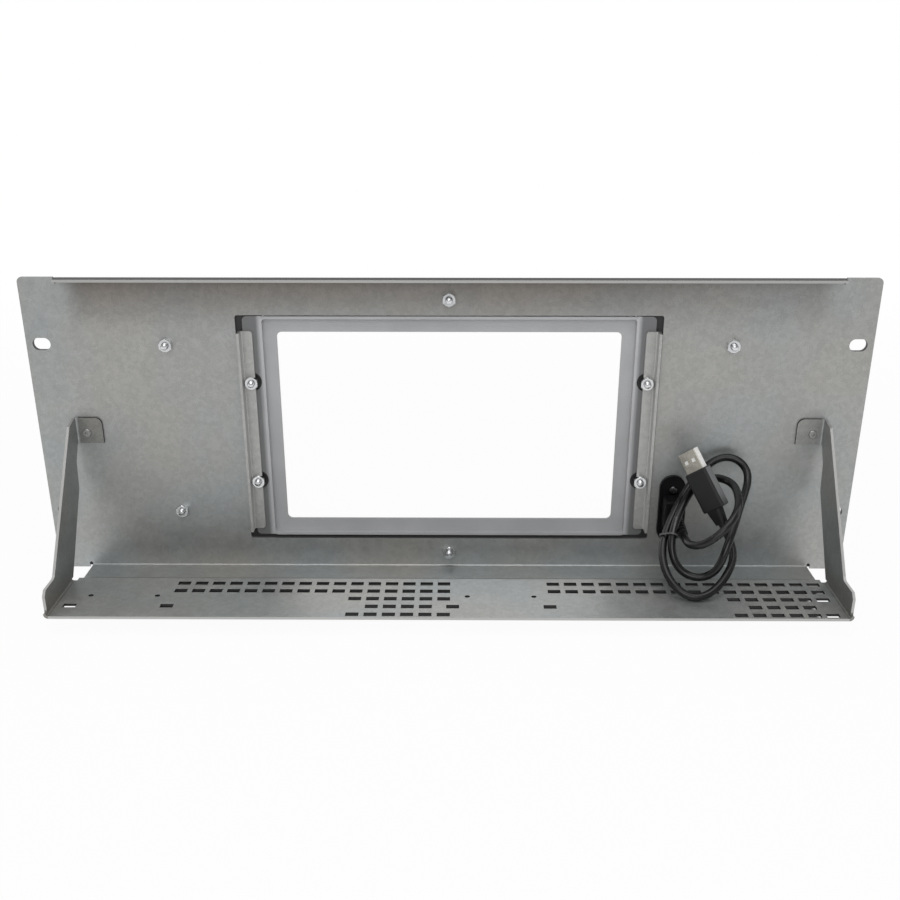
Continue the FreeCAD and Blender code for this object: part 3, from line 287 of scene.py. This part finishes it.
class Nodes:
    """Short ways to build a tree of shader nodes."""

    def __init__(self, tree):
        self.tree = tree

    def node(self, kind, **settings):
        made = self.tree.nodes.new(kind)
        for name, value in settings.items():
            setattr(made, name, value)
        return made

    def feed(self, socket, value):
        """Link a socket to another one, or set its value."""
        if isinstance(value, bpy.types.NodeSocket):
            self.tree.links.new(value, socket)
        else:
            socket.default_value = value

    def maths(self, operation, first, second=0.0):
        made = self.node("ShaderNodeMath", operation=operation)
        self.feed(made.inputs[0], first)
        self.feed(made.inputs[1], second)
        return made.outputs[0]

    def above(self, value, limit):
        return self.maths("GREATER_THAN", value, limit)

    def below(self, value, limit):
        return self.maths("LESS_THAN", value, limit)

    def rest(self, share):
        """What a share leaves of one."""
        return self.maths("SUBTRACT", 1.0, share)

    def product(self, *factors):
        result = factors[0]
        for factor in factors[1:]:
            result = self.maths("MULTIPLY", result, factor)
        return result

    def most(self, *values):
        result = values[0]
        for value in values[1:]:
            result = self.maths("MAXIMUM", result, value)
        return result

    def span(self, value, low, high, to_low=0.0, to_high=1.0):
        """Carry a range of values over to another one, smoothly."""
        made = self.node("ShaderNodeMapRange", interpolation_type="SMOOTHSTEP")
        for socket, number in zip(made.inputs, (value, low, high, to_low, to_high)):
            self.feed(socket, number)
        return made.outputs["Result"]

    def mix(self, factor, first, second, blend_type="MIX"):
        made = self.node("ShaderNodeMix", data_type="RGBA", blend_type=blend_type)
        self.feed(made.inputs["Factor"], factor)
        colours = [socket for socket in made.inputs if socket.type == "RGBA"]
        self.feed(colours[0], first)
        self.feed(colours[1], second)
        return [socket for socket in made.outputs if socket.type == "RGBA"][0]

    def axes(self, vector):
        made = self.node("ShaderNodeSeparateXYZ")
        self.feed(made.inputs[0], vector)
        return made.outputs

    def seen_rays(self):
        """Mask of the rays that look at a surface, plain or by way of a mirror, and the single outputs."""
        path = self.node("ShaderNodeLightPath").outputs
        return self.most(path["Is Camera Ray"], path["Is Transmission Ray"], path["Is Glossy Ray"]), path

    def blend(self, factor, first, second):
        """Mix two shaders."""
        made = self.node("ShaderNodeMixShader")
        self.feed(made.inputs["Fac"], factor)
        self.feed(made.inputs[1], first)
        self.feed(made.inputs[2], second)
        return made.outputs["Shader"]


class Finish(Nodes):
    """One procedural material, built up from nodes on Object coordinates."""

    def __init__(self, name, metallic=0.0, roughness=0.5, gloss=0.5):
        self.material = bpy.data.materials.new(name)
        self.material.use_nodes = True
        super().__init__(self.material.node_tree)
        self.shader = self.tree.nodes["Principled BSDF"]
        self.shader.inputs["Metallic"].default_value = metallic
        self.shader.inputs["Roughness"].default_value = roughness
        self.shader.inputs["Specular IOR Level"].default_value = gloss
        self.place = self.node("ShaderNodeTexCoord").outputs["Object"]

    def scaled(self, sizes):
        """Object coordinates in units of a feature's size along each axis."""
        made = self.node("ShaderNodeMapping")
        self.feed(made.inputs["Vector"], self.place)
        made.inputs["Scale"].default_value = [1.0 / size for size in sizes]
        return made.outputs["Vector"]

    def noise(self, size, detail=3.0, roughness=0.5, stretch=(1.0, 1.0, 1.0)):
        """Soft noise with features of about this size in metres."""
        made = self.node("ShaderNodeTexNoise")
        self.feed(made.inputs["Vector"], self.scaled([size * factor for factor in stretch]))
        made.inputs["Scale"].default_value = 1.0
        made.inputs["Detail"].default_value = detail
        made.inputs["Roughness"].default_value = roughness
        return made.outputs["Fac"]

    def crystals(self, size):
        """One even random value for each crystal of about this size."""
        made = self.node("ShaderNodeTexVoronoi")
        self.feed(made.inputs["Vector"], self.scaled([size] * 3))
        made.inputs["Scale"].default_value = 1.0
        parts = self.node("ShaderNodeSeparateColor")
        self.feed(parts.inputs["Color"], made.outputs["Color"])
        return parts.outputs["Red"]

    def normal(self):
        return self.axes(self.node("ShaderNodeNewGeometry").outputs["True Normal"])

    def colour(self, value):
        self.feed(self.shader.inputs["Base Color"], value)

    def roughness(self, value):
        self.feed(self.shader.inputs["Roughness"], value)

    def bump(self, height, strength, distance):
        made = self.node("ShaderNodeBump")
        made.inputs["Strength"].default_value = strength
        made.inputs["Distance"].default_value = distance
        self.feed(made.inputs["Height"], height)
        self.feed(self.shader.inputs["Normal"], made.outputs["Normal"])


def rgba(colour):
    return (*colour, 1.0)


def dress(material, *nodes):
    """Give CAD nodes their finish."""
    for name in nodes:
        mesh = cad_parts[name].data
        mesh.materials.clear()
        mesh.materials.append(material)


def zinc(finish, cool, warm):
    """Zinc with faint clouds, small crystals and a fine grain: a colour and the roughness with it."""
    cloud = finish.noise(0.07, detail=2.0)
    mottle = finish.noise(0.009, detail=4.0, roughness=0.6)
    spangle = finish.crystals(0.0022)
    grain = finish.noise(0.0006, detail=2.0)
    hue = finish.mix(finish.span(cloud, 0.35, 0.65), rgba(cool), rgba(warm))
    tone = finish.product(finish.span(mottle, 0.3, 0.7, 0.955, 1.045),
                          finish.span(spangle, 0.0, 1.0, 0.95, 1.05),
                          finish.span(grain, 0.3, 0.7, 0.92, 1.08))
    finish.bump(finish.maths("ADD", spangle, grain), 0.06, 0.0001)
    return finish.mix(1.0, hue, tone, "MULTIPLY"), finish.span(mottle, 0.3, 0.7, 0.43, 0.50)


def edges(finish, facing, *regions):
    """Mask of sheared edges: faces that turn away from the sheet's own direction, inside the regions."""
    away = finish.span(finish.maths("ABSOLUTE", facing), 0.35, 0.65, 1.0, 0.0)
    return finish.product(away, *regions)


def chassis_finish(colours):
    """Zinc sheet, black outside, bare at the cuts, with painted shade in the rack slots and a brownish
    painted shade under the top flange.
    """
    finish = Finish("zinc_panel", metallic=ZINC_METALLIC)
    base, rough = zinc(finish, colours.zinc_cool, colours.zinc_warm)
    x, y, z = finish.axes(finish.place)
    _, facing_y, facing_z = finish.normal()
    aside = finish.maths("ABSOLUTE", x)
    height = finish.maths("ABSOLUTE", z)
    outward = finish.maths("MULTIPLY", facing_z, finish.maths("SIGN", z))
    flange = finish.product(finish.above(height, FLANGE_SKIN_Z), finish.below(aside, FLANGE_HALF),
                            finish.above(outward, FACING))
    coat = finish.most(finish.above(facing_y, FACING), flange)
    cut = edges(finish, facing_y, finish.below(height, PANEL_CUT_Z))
    # Painted shade on the walls of the rack slots
    rack_slot_shade = finish.product(cut, finish.above(aside, RACK_SLOT_X[0]), finish.below(aside, RACK_SLOT_X[1]))
    lip = finish.product(finish.above(z, TOP_LIP_Z), finish.below(y, TOP_LIP_Y))
    # Painted shade under the top flange, tinted brownish
    flange_shade = finish.product(finish.span(z, *FLANGE_SHADE_Z), finish.span(aside, *FLANGE_SHADE_END_X, 1.0, 0.0),
                           finish.span(x, *FLANGE_SHADE_FADE_X, 1.0, FLANGE_SHADE_RIGHT_SHARE))
    flange_shaded = finish.mix(flange_shade, base, finish.mix(1.0, base, rgba(colours.flange_shade_share), "MULTIPLY"))
    bare = finish.mix(finish.most(cut, lip), flange_shaded, rgba(colours.cut_edge_and_leg_light))
    zinc_side = finish.mix(rack_slot_shade, bare, rgba(colours.cut_wall_shade))
    finish.colour(finish.mix(coat, zinc_side, rgba(colours.coating)))
    finish.roughness(finish.maths("MAXIMUM", rough, finish.maths("MULTIPLY", coat, 0.5)))
    return finish.material


def tray_finish(colours):
    """Zinc sheet of the tray: bare edges, darker tabs, and painted shade on the slots' walls, along the
    tabs' edges, under the shelf and low in the walls' front corners.
    """
    finish = Finish("zinc_tray", metallic=ZINC_METALLIC)
    base, rough = zinc(finish, colours.zinc_cool, colours.zinc_warm)
    x, y, z = finish.axes(finish.place)
    facing_x, facing_y, facing_z = finish.normal()
    aside = finish.maths("ABSOLUTE", x)
    low = finish.below(z, SHELF_SKIN_Z)
    arm = edges(finish, facing_x, finish.above(aside, ARM_EDGE_X), finish.above(z, ARM_EDGE_Z))
    lip = edges(finish, facing_z, finish.below(y, SHELF_REAR_Y), low, finish.below(aside, SHELF_LIP_HALF))
    # Painted shade on the walls of the shelf's slots
    cut_wall_shade = edges(finish, facing_z, finish.below(y, SHELF_FRONT_Y), finish.above(y, SHELF_REAR_Y), low,
                    finish.below(aside, SHELF_SLOT_HALF))
    tab = finish.product(finish.above(y, TAB_Y), finish.above(z, TAB_Z), finish.below(aside, WALL_X))
    # Painted shade along the tabs' edges
    tab_edge_shade = edges(finish, facing_y, tab)
    # The tabs are darkened, the left one more than the right
    tab_darkening = finish.maths("MULTIPLY", tab, finish.span(x, *TAB_DARKENING_X, 1.0, TAB_RIGHT_SHARE))
    # Painted shade under the shelf and low in the side walls' front corners
    under = finish.below(z, SHELF_UNDER_Z)
    corner = finish.product(finish.above(aside, WALL_X), finish.span(z, *WALL_CORNER_Z, 1.0, 0.0))
    darkened = finish.mix(1.0, base, rgba(colours.shade_and_tab_share), "MULTIPLY")
    darkened_base = finish.mix(finish.most(tab_darkening, under, corner), base, darkened)
    bare = finish.mix(finish.most(arm, lip), darkened_base, rgba(colours.cut_edge_and_leg_light))
    finish.colour(finish.mix(finish.most(cut_wall_shade, tab_edge_shade), bare, rgba(colours.cut_wall_shade)))
    finish.roughness(rough)
    return finish.material


def clamp_finish(colours):
    """Zinc strip of the display's clamps, with painted light on the upright leg: paler and matt."""
    finish = Finish("zinc_clamp")
    base, rough = zinc(finish, colours.clamp_zinc, colours.clamp_zinc)
    # Painted light on the leg's sideways faces: paler and less metallic
    leg = finish.span(finish.maths("ABSOLUTE", finish.normal()["X"]), 0.3, 0.7)
    finish.colour(finish.mix(leg, base, rgba(colours.cut_edge_and_leg_light)))
    finish.feed(finish.shader.inputs["Metallic"], finish.span(leg, 0.0, 1.0, ZINC_METALLIC, 0.0))
    finish.roughness(rough)
    return finish.material


def coated_finish(colours):
    """Black powder coat with its fine orange peel."""
    finish = Finish("black_coat")
    peel = finish.noise(0.0008, detail=2.0)
    haze = finish.noise(0.03, detail=3.0)
    tone = finish.span(haze, 0.3, 0.7, 0.8, 1.25)
    finish.colour(finish.mix(1.0, rgba(colours.coating), tone, "MULTIPLY"))
    finish.roughness(finish.span(haze, 0.3, 0.7, 0.42, 0.52))
    finish.bump(peel, 0.25, 0.0001)
    return finish.material


def moulded_finish(name, colour, size, rough, gloss=0.5):
    """Moulded plastic with a fine eroded grain and a slight unevenness of tone."""
    finish = Finish(name, gloss=gloss)
    grain = finish.noise(size, detail=2.0)
    haze = finish.noise(size * 40.0, detail=3.0)
    finish.colour(finish.mix(1.0, rgba(colour), finish.span(haze, 0.3, 0.7, 0.92, 1.08), "MULTIPLY"))
    finish.roughness(finish.span(haze, 0.3, 0.7, rough - 0.05, rough + 0.05))
    finish.bump(grain, 0.15, size * 0.15)
    return finish.material


def grip_finish(colours):
    """Black plastic of the plug's grip, with painted light on the narrow side that faces right, paler
    towards the shell.
    """
    finish = Finish("plug_moulding", roughness=0.45, gloss=0.4)
    grain = finish.noise(0.0004, detail=2.0)
    haze = finish.noise(0.016, detail=3.0)
    height = finish.axes(finish.place)["Z"]
    # Painted light on the narrow side that faces right
    side = finish.product(finish.span(finish.normal()["X"], 0.3, 0.6), finish.span(height, *GRIP_LIGHT_Z))
    colour = finish.mix(side, rgba(colours.moulding), rgba(colours.grip_light))
    finish.colour(finish.mix(1.0, colour, finish.span(haze, 0.3, 0.7, 0.92, 1.08), "MULTIPLY"))
    finish.bump(grain, 0.15, 0.00006)
    return finish.material


def bezel_finish(colours):
    """Grey moulding with a fine grain, with painted light that leaves it darker below, painted shade
    towards the clamps and a painted highlight on the rim edge.
    """
    finish = Finish("bezel_grey")
    grain = finish.noise(0.0006, detail=2.0)
    haze = finish.noise(0.024, detail=3.0)
    x, _, z = finish.axes(finish.place)
    aside = finish.maths("ABSOLUTE", x)
    # Painted highlight on the rim edge, painted shade on the flange towards the clamps, painted light
    # darker below
    edge = finish.span(aside, *RIM_EDGE_X, 1.0, 1.12)
    flange = finish.span(aside, *BEZEL_FLANGE_X, 1.0, 0.34)
    top_light = finish.span(z, *BEZEL_FADE_Z, 0.92, 1.05)
    tone = finish.product(finish.span(haze, 0.3, 0.7, 0.95, 1.05), top_light, edge, flange)
    finish.colour(finish.mix(1.0, rgba(colours.bezel), tone, "MULTIPLY"))
    finish.roughness(finish.span(haze, 0.3, 0.7, 0.45, 0.55))
    finish.bump(grain, 0.15, 0.0001)
    return finish.material


def plated_finish(name, colour, rough):
    """Plated metal with faint clouds and drawing lines."""
    finish = Finish(name, metallic=1.0)
    cloud = finish.noise(0.003, detail=3.0)
    lines = finish.noise(0.0004, detail=2.0, stretch=(1.0, 8.0, 1.0))
    tone = finish.product(finish.span(cloud, 0.3, 0.7, 0.88, 1.08),
                          finish.span(lines, 0.3, 0.7, 0.94, 1.04))
    finish.colour(finish.mix(1.0, rgba(colour), tone, "MULTIPLY"))
    finish.roughness(finish.span(cloud, 0.3, 0.7, rough - 0.06, rough + 0.08))
    finish.bump(lines, 0.05, 0.00005)
    return finish.material


def shell_finish(colours):
    """Nickel of the connectors' shells, with painted light on the narrow walls that face right: pale and
    not metallic.
    """
    finish = Finish("nickel")
    cloud = finish.noise(0.004, detail=3.0)
    # Painted light on the narrow walls that face right: pale and not metallic
    narrow = finish.span(finish.normal()["X"], 0.2, 0.5)
    tone = finish.span(cloud, 0.3, 0.7, 0.94, 1.06)
    colour = finish.mix(narrow, rgba(colours.nickel), rgba(colours.shell_light))
    finish.colour(finish.mix(1.0, colour, tone, "MULTIPLY"))
    finish.feed(finish.shader.inputs["Metallic"], finish.rest(narrow))
    finish.roughness(finish.span(cloud, 0.3, 0.7, 0.2, 0.3))
    return finish.material


def put(obj):
    """Link a piece to the scene and let it ride on the carrier's only body."""
    bpy.context.scene.collection.objects.link(obj)
    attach(obj, BODY)
    return obj


def grid_faces(rows, columns, first=0):
    """Quads between neighbouring rows of a grid whose columns close on themselves."""
    row, column = np.meshgrid(np.arange(rows - 1), np.arange(columns), indexing="ij")
    following = (column + 1) % columns
    corners = (row * columns + column, row * columns + following,
               (row + 1) * columns + following, (row + 1) * columns + column)
    return np.stack(corners, axis=-1).reshape(-1, 4) + first


def threaded_stud(base, length, sizes):
    """Points of a stud that stands from its base towards -Y.

    The radius at height h and turn t is the outer radius less a triangle wave of h / pitch - t / 2 pi,
    cut down by the chamfer at the free end; the first and last rows shrink to the axis.
    """
    columns = 28
    rows_per_turn = 8
    rows = int(length / sizes.thread_pitch * rows_per_turn)
    height = np.linspace(0.0, length, rows)[:, None]
    turn = np.linspace(0.0, 2 * np.pi, columns, endpoint=False)[None, :]
    phase = (height / sizes.thread_pitch - turn / (2 * np.pi)) % 1.0
    radius = sizes.stud_radius - sizes.thread_depth * np.abs(2 * phase - 1)
    tip = sizes.stud_radius - sizes.stud_chamfer + (length - height)
    radius = np.minimum(radius, tip)
    radius[[0, -1], :] = 1e-5
    points = np.empty((rows, columns, 3))
    points[..., 0] = base[0] + radius * np.cos(turn)
    points[..., 1] = base[1] - height
    points[..., 2] = base[2] + radius * np.sin(turn)
    return points


class CARRIER_OT_stage(bpy.types.Operator):
    """Make the floor, the white room, the soft boxes and the camera"""

    bl_idname = "carrier.stage"
    bl_label = "Stage"

    def execute(self, context):
        stage = context.scene.carrier_stage
        colours = context.scene.carrier_colours
        self.make_floor(stage, colours)
        self.make_room(stage)
        shelf_middle = (0.0, -0.04, -0.05)
        panel_middle = (0.0, 0.0, 0.0)
        self.make_soft_box("overhead", stage.overhead_power, stage.overhead_place, shelf_middle, (1.1, 0.8))
        self.make_soft_box("front", stage.front_power, stage.front_place, panel_middle, (1.0, 0.8))
        self.make_camera(stage)
        context.scene.view_settings.view_transform = "Standard"
        return {"FINISHED"}

    def make_floor(self, stage, colours):
        reach = stage.floor_reach
        level = cad_box[0][2]
        corners = [(x * reach, y * reach, level) for x, y in ((-1, -1), (1, -1), (1, 1), (-1, 1))]
        mesh = bpy.data.meshes.new("floor")
        mesh.from_pydata(corners, [], [(0, 1, 2, 3)])
        floor = bpy.data.objects.new("floor", mesh)
        bpy.context.scene.collection.objects.link(floor)
        finish = Finish("pale_floor", roughness=0.8, gloss=0.0)
        x, y, _ = finish.axes(finish.place)
        away = finish.maths("SQRT", finish.maths("ADD", finish.product(x, x), finish.product(y, y)))
        white = finish.span(away, *FLOOR_WHITE_REACH, stage.floor_glow, 1.0)
        beneath = finish.product(finish.span(finish.maths("ABSOLUTE", x), *BENEATH_X, 1.0, 0.0),
                                 finish.span(y, *BENEATH_REAR_Y),
                                 finish.span(y, *BENEATH_FRONT_Y, 1.0, 0.0))
        finish.colour(finish.mix(beneath, rgba(colours.floor), rgba(colours.floor_shade)))
        seen, path = finish.seen_rays()
        far = finish.span(y, *FAR_FLOOR_Y, 1.0 - stage.far_white, 0.0)
        glow = finish.node("ShaderNodeEmission")
        finish.feed(glow.inputs["Strength"], finish.rest(finish.product(path["Is Glossy Ray"], far)))
        share = finish.product(seen, white, finish.rest(beneath))
        surface = finish.blend(share, finish.shader.outputs["BSDF"], glow.outputs["Emission"])
        finish.feed(finish.tree.nodes["Material Output"].inputs["Surface"], surface)
        mesh.materials.append(finish.material)

    def make_room(self, stage):
        world = bpy.data.worlds.new("white_room")
        world.use_nodes = True
        room = Nodes(world.node_tree)
        lit = room.tree.nodes["Background"]
        lit.inputs["Color"].default_value = (1.0, 1.0, 1.0, 1.0)
        lit.inputs["Strength"].default_value = stage.world_light
        white = room.node("ShaderNodeBackground")
        white.inputs["Color"].default_value = (1.0, 1.0, 1.0, 1.0)
        seen, path = room.seen_rays()
        direction = room.axes(room.node("ShaderNodeTexCoord").outputs["Generated"])
        behind = room.span(direction["Y"], *ROOM_TURN, stage.front_white, 1.0)
        room.feed(white.inputs["Strength"], room.most(path["Is Camera Ray"], behind))
        surface = room.blend(seen, lit.outputs["Background"], white.outputs["Background"])
        room.feed(room.tree.nodes["World Output"].inputs["Surface"], surface)
        bpy.context.scene.world = world

    def make_soft_box(self, name, power, place, target, size):
        data = bpy.data.lights.new(name, "AREA")
        data.shape = "RECTANGLE"
        data.energy = power
        data.size, data.size_y = size
        box = bpy.data.objects.new(name, data)
        box.location = place
        box.rotation_euler = (Vector(target) - Vector(place)).to_track_quat("-Z", "Y").to_euler()
        bpy.context.scene.collection.objects.link(box)

    def make_camera(self, stage):
        data = bpy.data.cameras.new("viewpoint")
        data.sensor_width = SENSOR
        data.lens = stage.focal_pixels / IMAGE_SIZE * SENSOR
        data.shift_y = stage.principal_row / IMAGE_SIZE - 0.5
        camera = bpy.data.objects.new("viewpoint", data)
        camera.location = stage.camera_place
        camera.rotation_euler = (math.pi / 2 - stage.camera_pitch, 0.0, stage.camera_yaw)
        bpy.context.scene.collection.objects.link(camera)
        bpy.context.scene.camera = camera


class CARRIER_OT_lead(bpy.types.Operator):
    bl_idname = "carrier.lead"
    bl_label = "Lead"

    def execute(self, context):
        sizes = context.scene.carrier_sizes
        colours = context.scene.carrier_colours
        curve = bpy.data.curves.new("usb_lead_line", "CURVE")
        curve.dimensions = "3D"
        curve.resolution_u = 10
        curve.bevel_depth = 1.0
        curve.bevel_resolution = 6
        curve.use_fill_caps = True
        spline = curve.splines.new("NURBS")
        spline.points.add(len(LEAD_ROUTE) - 1)
        points = np.ones((len(LEAD_ROUTE), 4))
        points[:, :3] = np.array(LEAD_ROUTE) + np.array(sizes.lead_exit)
        spline.points.foreach_set("co", points.ravel())
        spline.points.foreach_set("radius", np.full(len(LEAD_ROUTE), sizes.lead_diameter / 2))
        spline.order_u = 3
        spline.use_endpoint_u = True
        lead = put(bpy.data.objects.new("lead", curve))
        curve.materials.append(moulded_finish("jacket", colours.jacket, 0.0003, 0.24, gloss=0.42))
        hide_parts("usb_lead")
        return {"FINISHED"}


class CARRIER_OT_sheet_metal(bpy.types.Operator):
    """Give the panel, the fascia, the tray and the clamps their sheet finishes"""

    bl_idname = "carrier.sheet_metal"
    bl_label = "Sheet metal"

    def execute(self, context):
        colours = context.scene.carrier_colours
        dress(chassis_finish(colours), "chassis_panel")
        dress(tray_finish(colours), "rear_tray")
        dress(clamp_finish(colours), "clamp_left", "clamp_right")
        dress(coated_finish(colours), "front_fascia")
        return {"FINISHED"}


class CARRIER_OT_bezel(bpy.types.Operator):
    """Give the display bezel its moulded finish"""

    bl_idname = "carrier.bezel"
    bl_label = "Bezel"

    def execute(self, context):
        dress(bezel_finish(context.scene.carrier_colours), "bezel_frame", "bezel_rim")
        return {"FINISHED"}


class CARRIER_OT_fasteners(bpy.types.Operator):
    """Give nuts, rivets and screws their plating and make the studs with their threads"""

    bl_idname = "carrier.fasteners"
    bl_label = "Fasteners"

    def execute(self, context):
        colours = context.scene.carrier_colours
        plating = plated_finish("bright_zinc", colours.bright_zinc, 0.22)
        dress(plating, "chassis_nuts", "clamp_nuts")
        dress(plated_finish("dull_zinc", colours.dull_zinc, 0.35), "tab_rivets", "tray_rivets")
        dress(plated_finish("blackened", colours.blackened, 0.25), "socket_screws")
        self.make_studs("chassis_stud_threads", "chassis_studs", context.scene.carrier_sizes, plating)
        self.make_studs("clamp_stud_threads", "clamp_studs", context.scene.carrier_sizes, plating)
        return {"FINISHED"}

    def make_studs(self, name, node, sizes, plating):
        low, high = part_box(node)
        reach_x = high.x - sizes.stud_radius
        levels = (low.z + sizes.stud_radius, high.z - sizes.stud_radius)
        sides = (-reach_x, reach_x)
        if node == "chassis_studs":
            heights = (-sizes.side_stud_height, sizes.side_stud_height)
            places = [(0.0, z) for z in levels] + [(x, z) for x in sides for z in heights]
        else:
            places = [(x, z) for x in sides for z in levels]
        studs = np.stack([threaded_stud((x, high.y, z), high.y - low.y, sizes) for x, z in places])
        count, rows, columns = studs.shape[:3]
        faces = np.concatenate([grid_faces(rows, columns, stud * rows * columns) for stud in range(count)])
        mesh = bpy.data.meshes.new(name)
        mesh.from_pydata(studs.reshape(-1, 3), [], faces)
        mesh.shade_smooth()
        mesh.materials.append(plating)
        piece = put(bpy.data.objects.new(name, mesh))
        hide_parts(node)


class CARRIER_OT_connectors(bpy.types.Operator):
    """Give the socket, the plug and the tie their finishes"""

    bl_idname = "carrier.connectors"
    bl_label = "Connectors"

    def execute(self, context):
        colours = context.scene.carrier_colours
        dress(moulded_finish("socket_moulding", colours.jacket, 0.0004, 0.35, gloss=0.12), "socket_housing")
        dress(grip_finish(colours), "plug_overmould")
        dress(moulded_finish("boot_rubber", colours.jacket, 0.0003, 0.4, gloss=0.4), "socket_strain_relief",
              "plug_strain_relief")
        dress(shell_finish(colours), "socket_shell", "plug_shell")
        tongue = moulded_finish("tongue_plastic", colours.insulator, 0.0003, 0.45)
        dress(tongue, "socket_tongue", "plug_tongue")
        dress(plated_finish("contact_gold", colours.gold, 0.25), "socket_contacts", "plug_contacts")
        dress(moulded_finish("tie_wire", colours.tie, 0.0003, 0.35), "lead_tie")
        return {"FINISHED"}


class CARRIER_PT_sidebar(bpy.types.Panel):
    """Lists the steps that dress the carrier"""

    bl_idname = "CARRIER_PT_sidebar"
    bl_label = "Rack Monitor Carrier"
    bl_space_type = "VIEW_3D"
    bl_region_type = "UI"
    bl_category = "Carrier"

    def draw(self, context):
        for step in STEPS:
            self.layout.operator(step.bl_idname)


STEPS = (CARRIER_OT_stage, CARRIER_OT_lead, CARRIER_OT_sheet_metal, CARRIER_OT_bezel, CARRIER_OT_fasteners,
         CARRIER_OT_connectors)
SETTINGS = {"carrier_sizes": CarrierSizes, "carrier_colours": CarrierColours, "carrier_stage": CarrierStage}


def register():
    for group in (*SETTINGS.values(), *STEPS, CARRIER_PT_sidebar):
        bpy.utils.register_class(group)
    for name, group in SETTINGS.items():
        setattr(bpy.types.Scene, name, PointerProperty(type=group))


def unregister():
    for name in SETTINGS:
        delattr(bpy.types.Scene, name)
    for group in (CARRIER_PT_sidebar, *reversed(STEPS), *reversed(SETTINGS.values())):
        bpy.utils.unregister_class(group)


def main():
    register()
    bpy.ops.carrier.stage()
    bpy.ops.carrier.lead()
    bpy.ops.carrier.sheet_metal()
    bpy.ops.carrier.bezel()
    bpy.ops.carrier.fasteners()
    bpy.ops.carrier.connectors()
    bpy.context.view_layer.update()


if __name__ == "__main__":
    main()
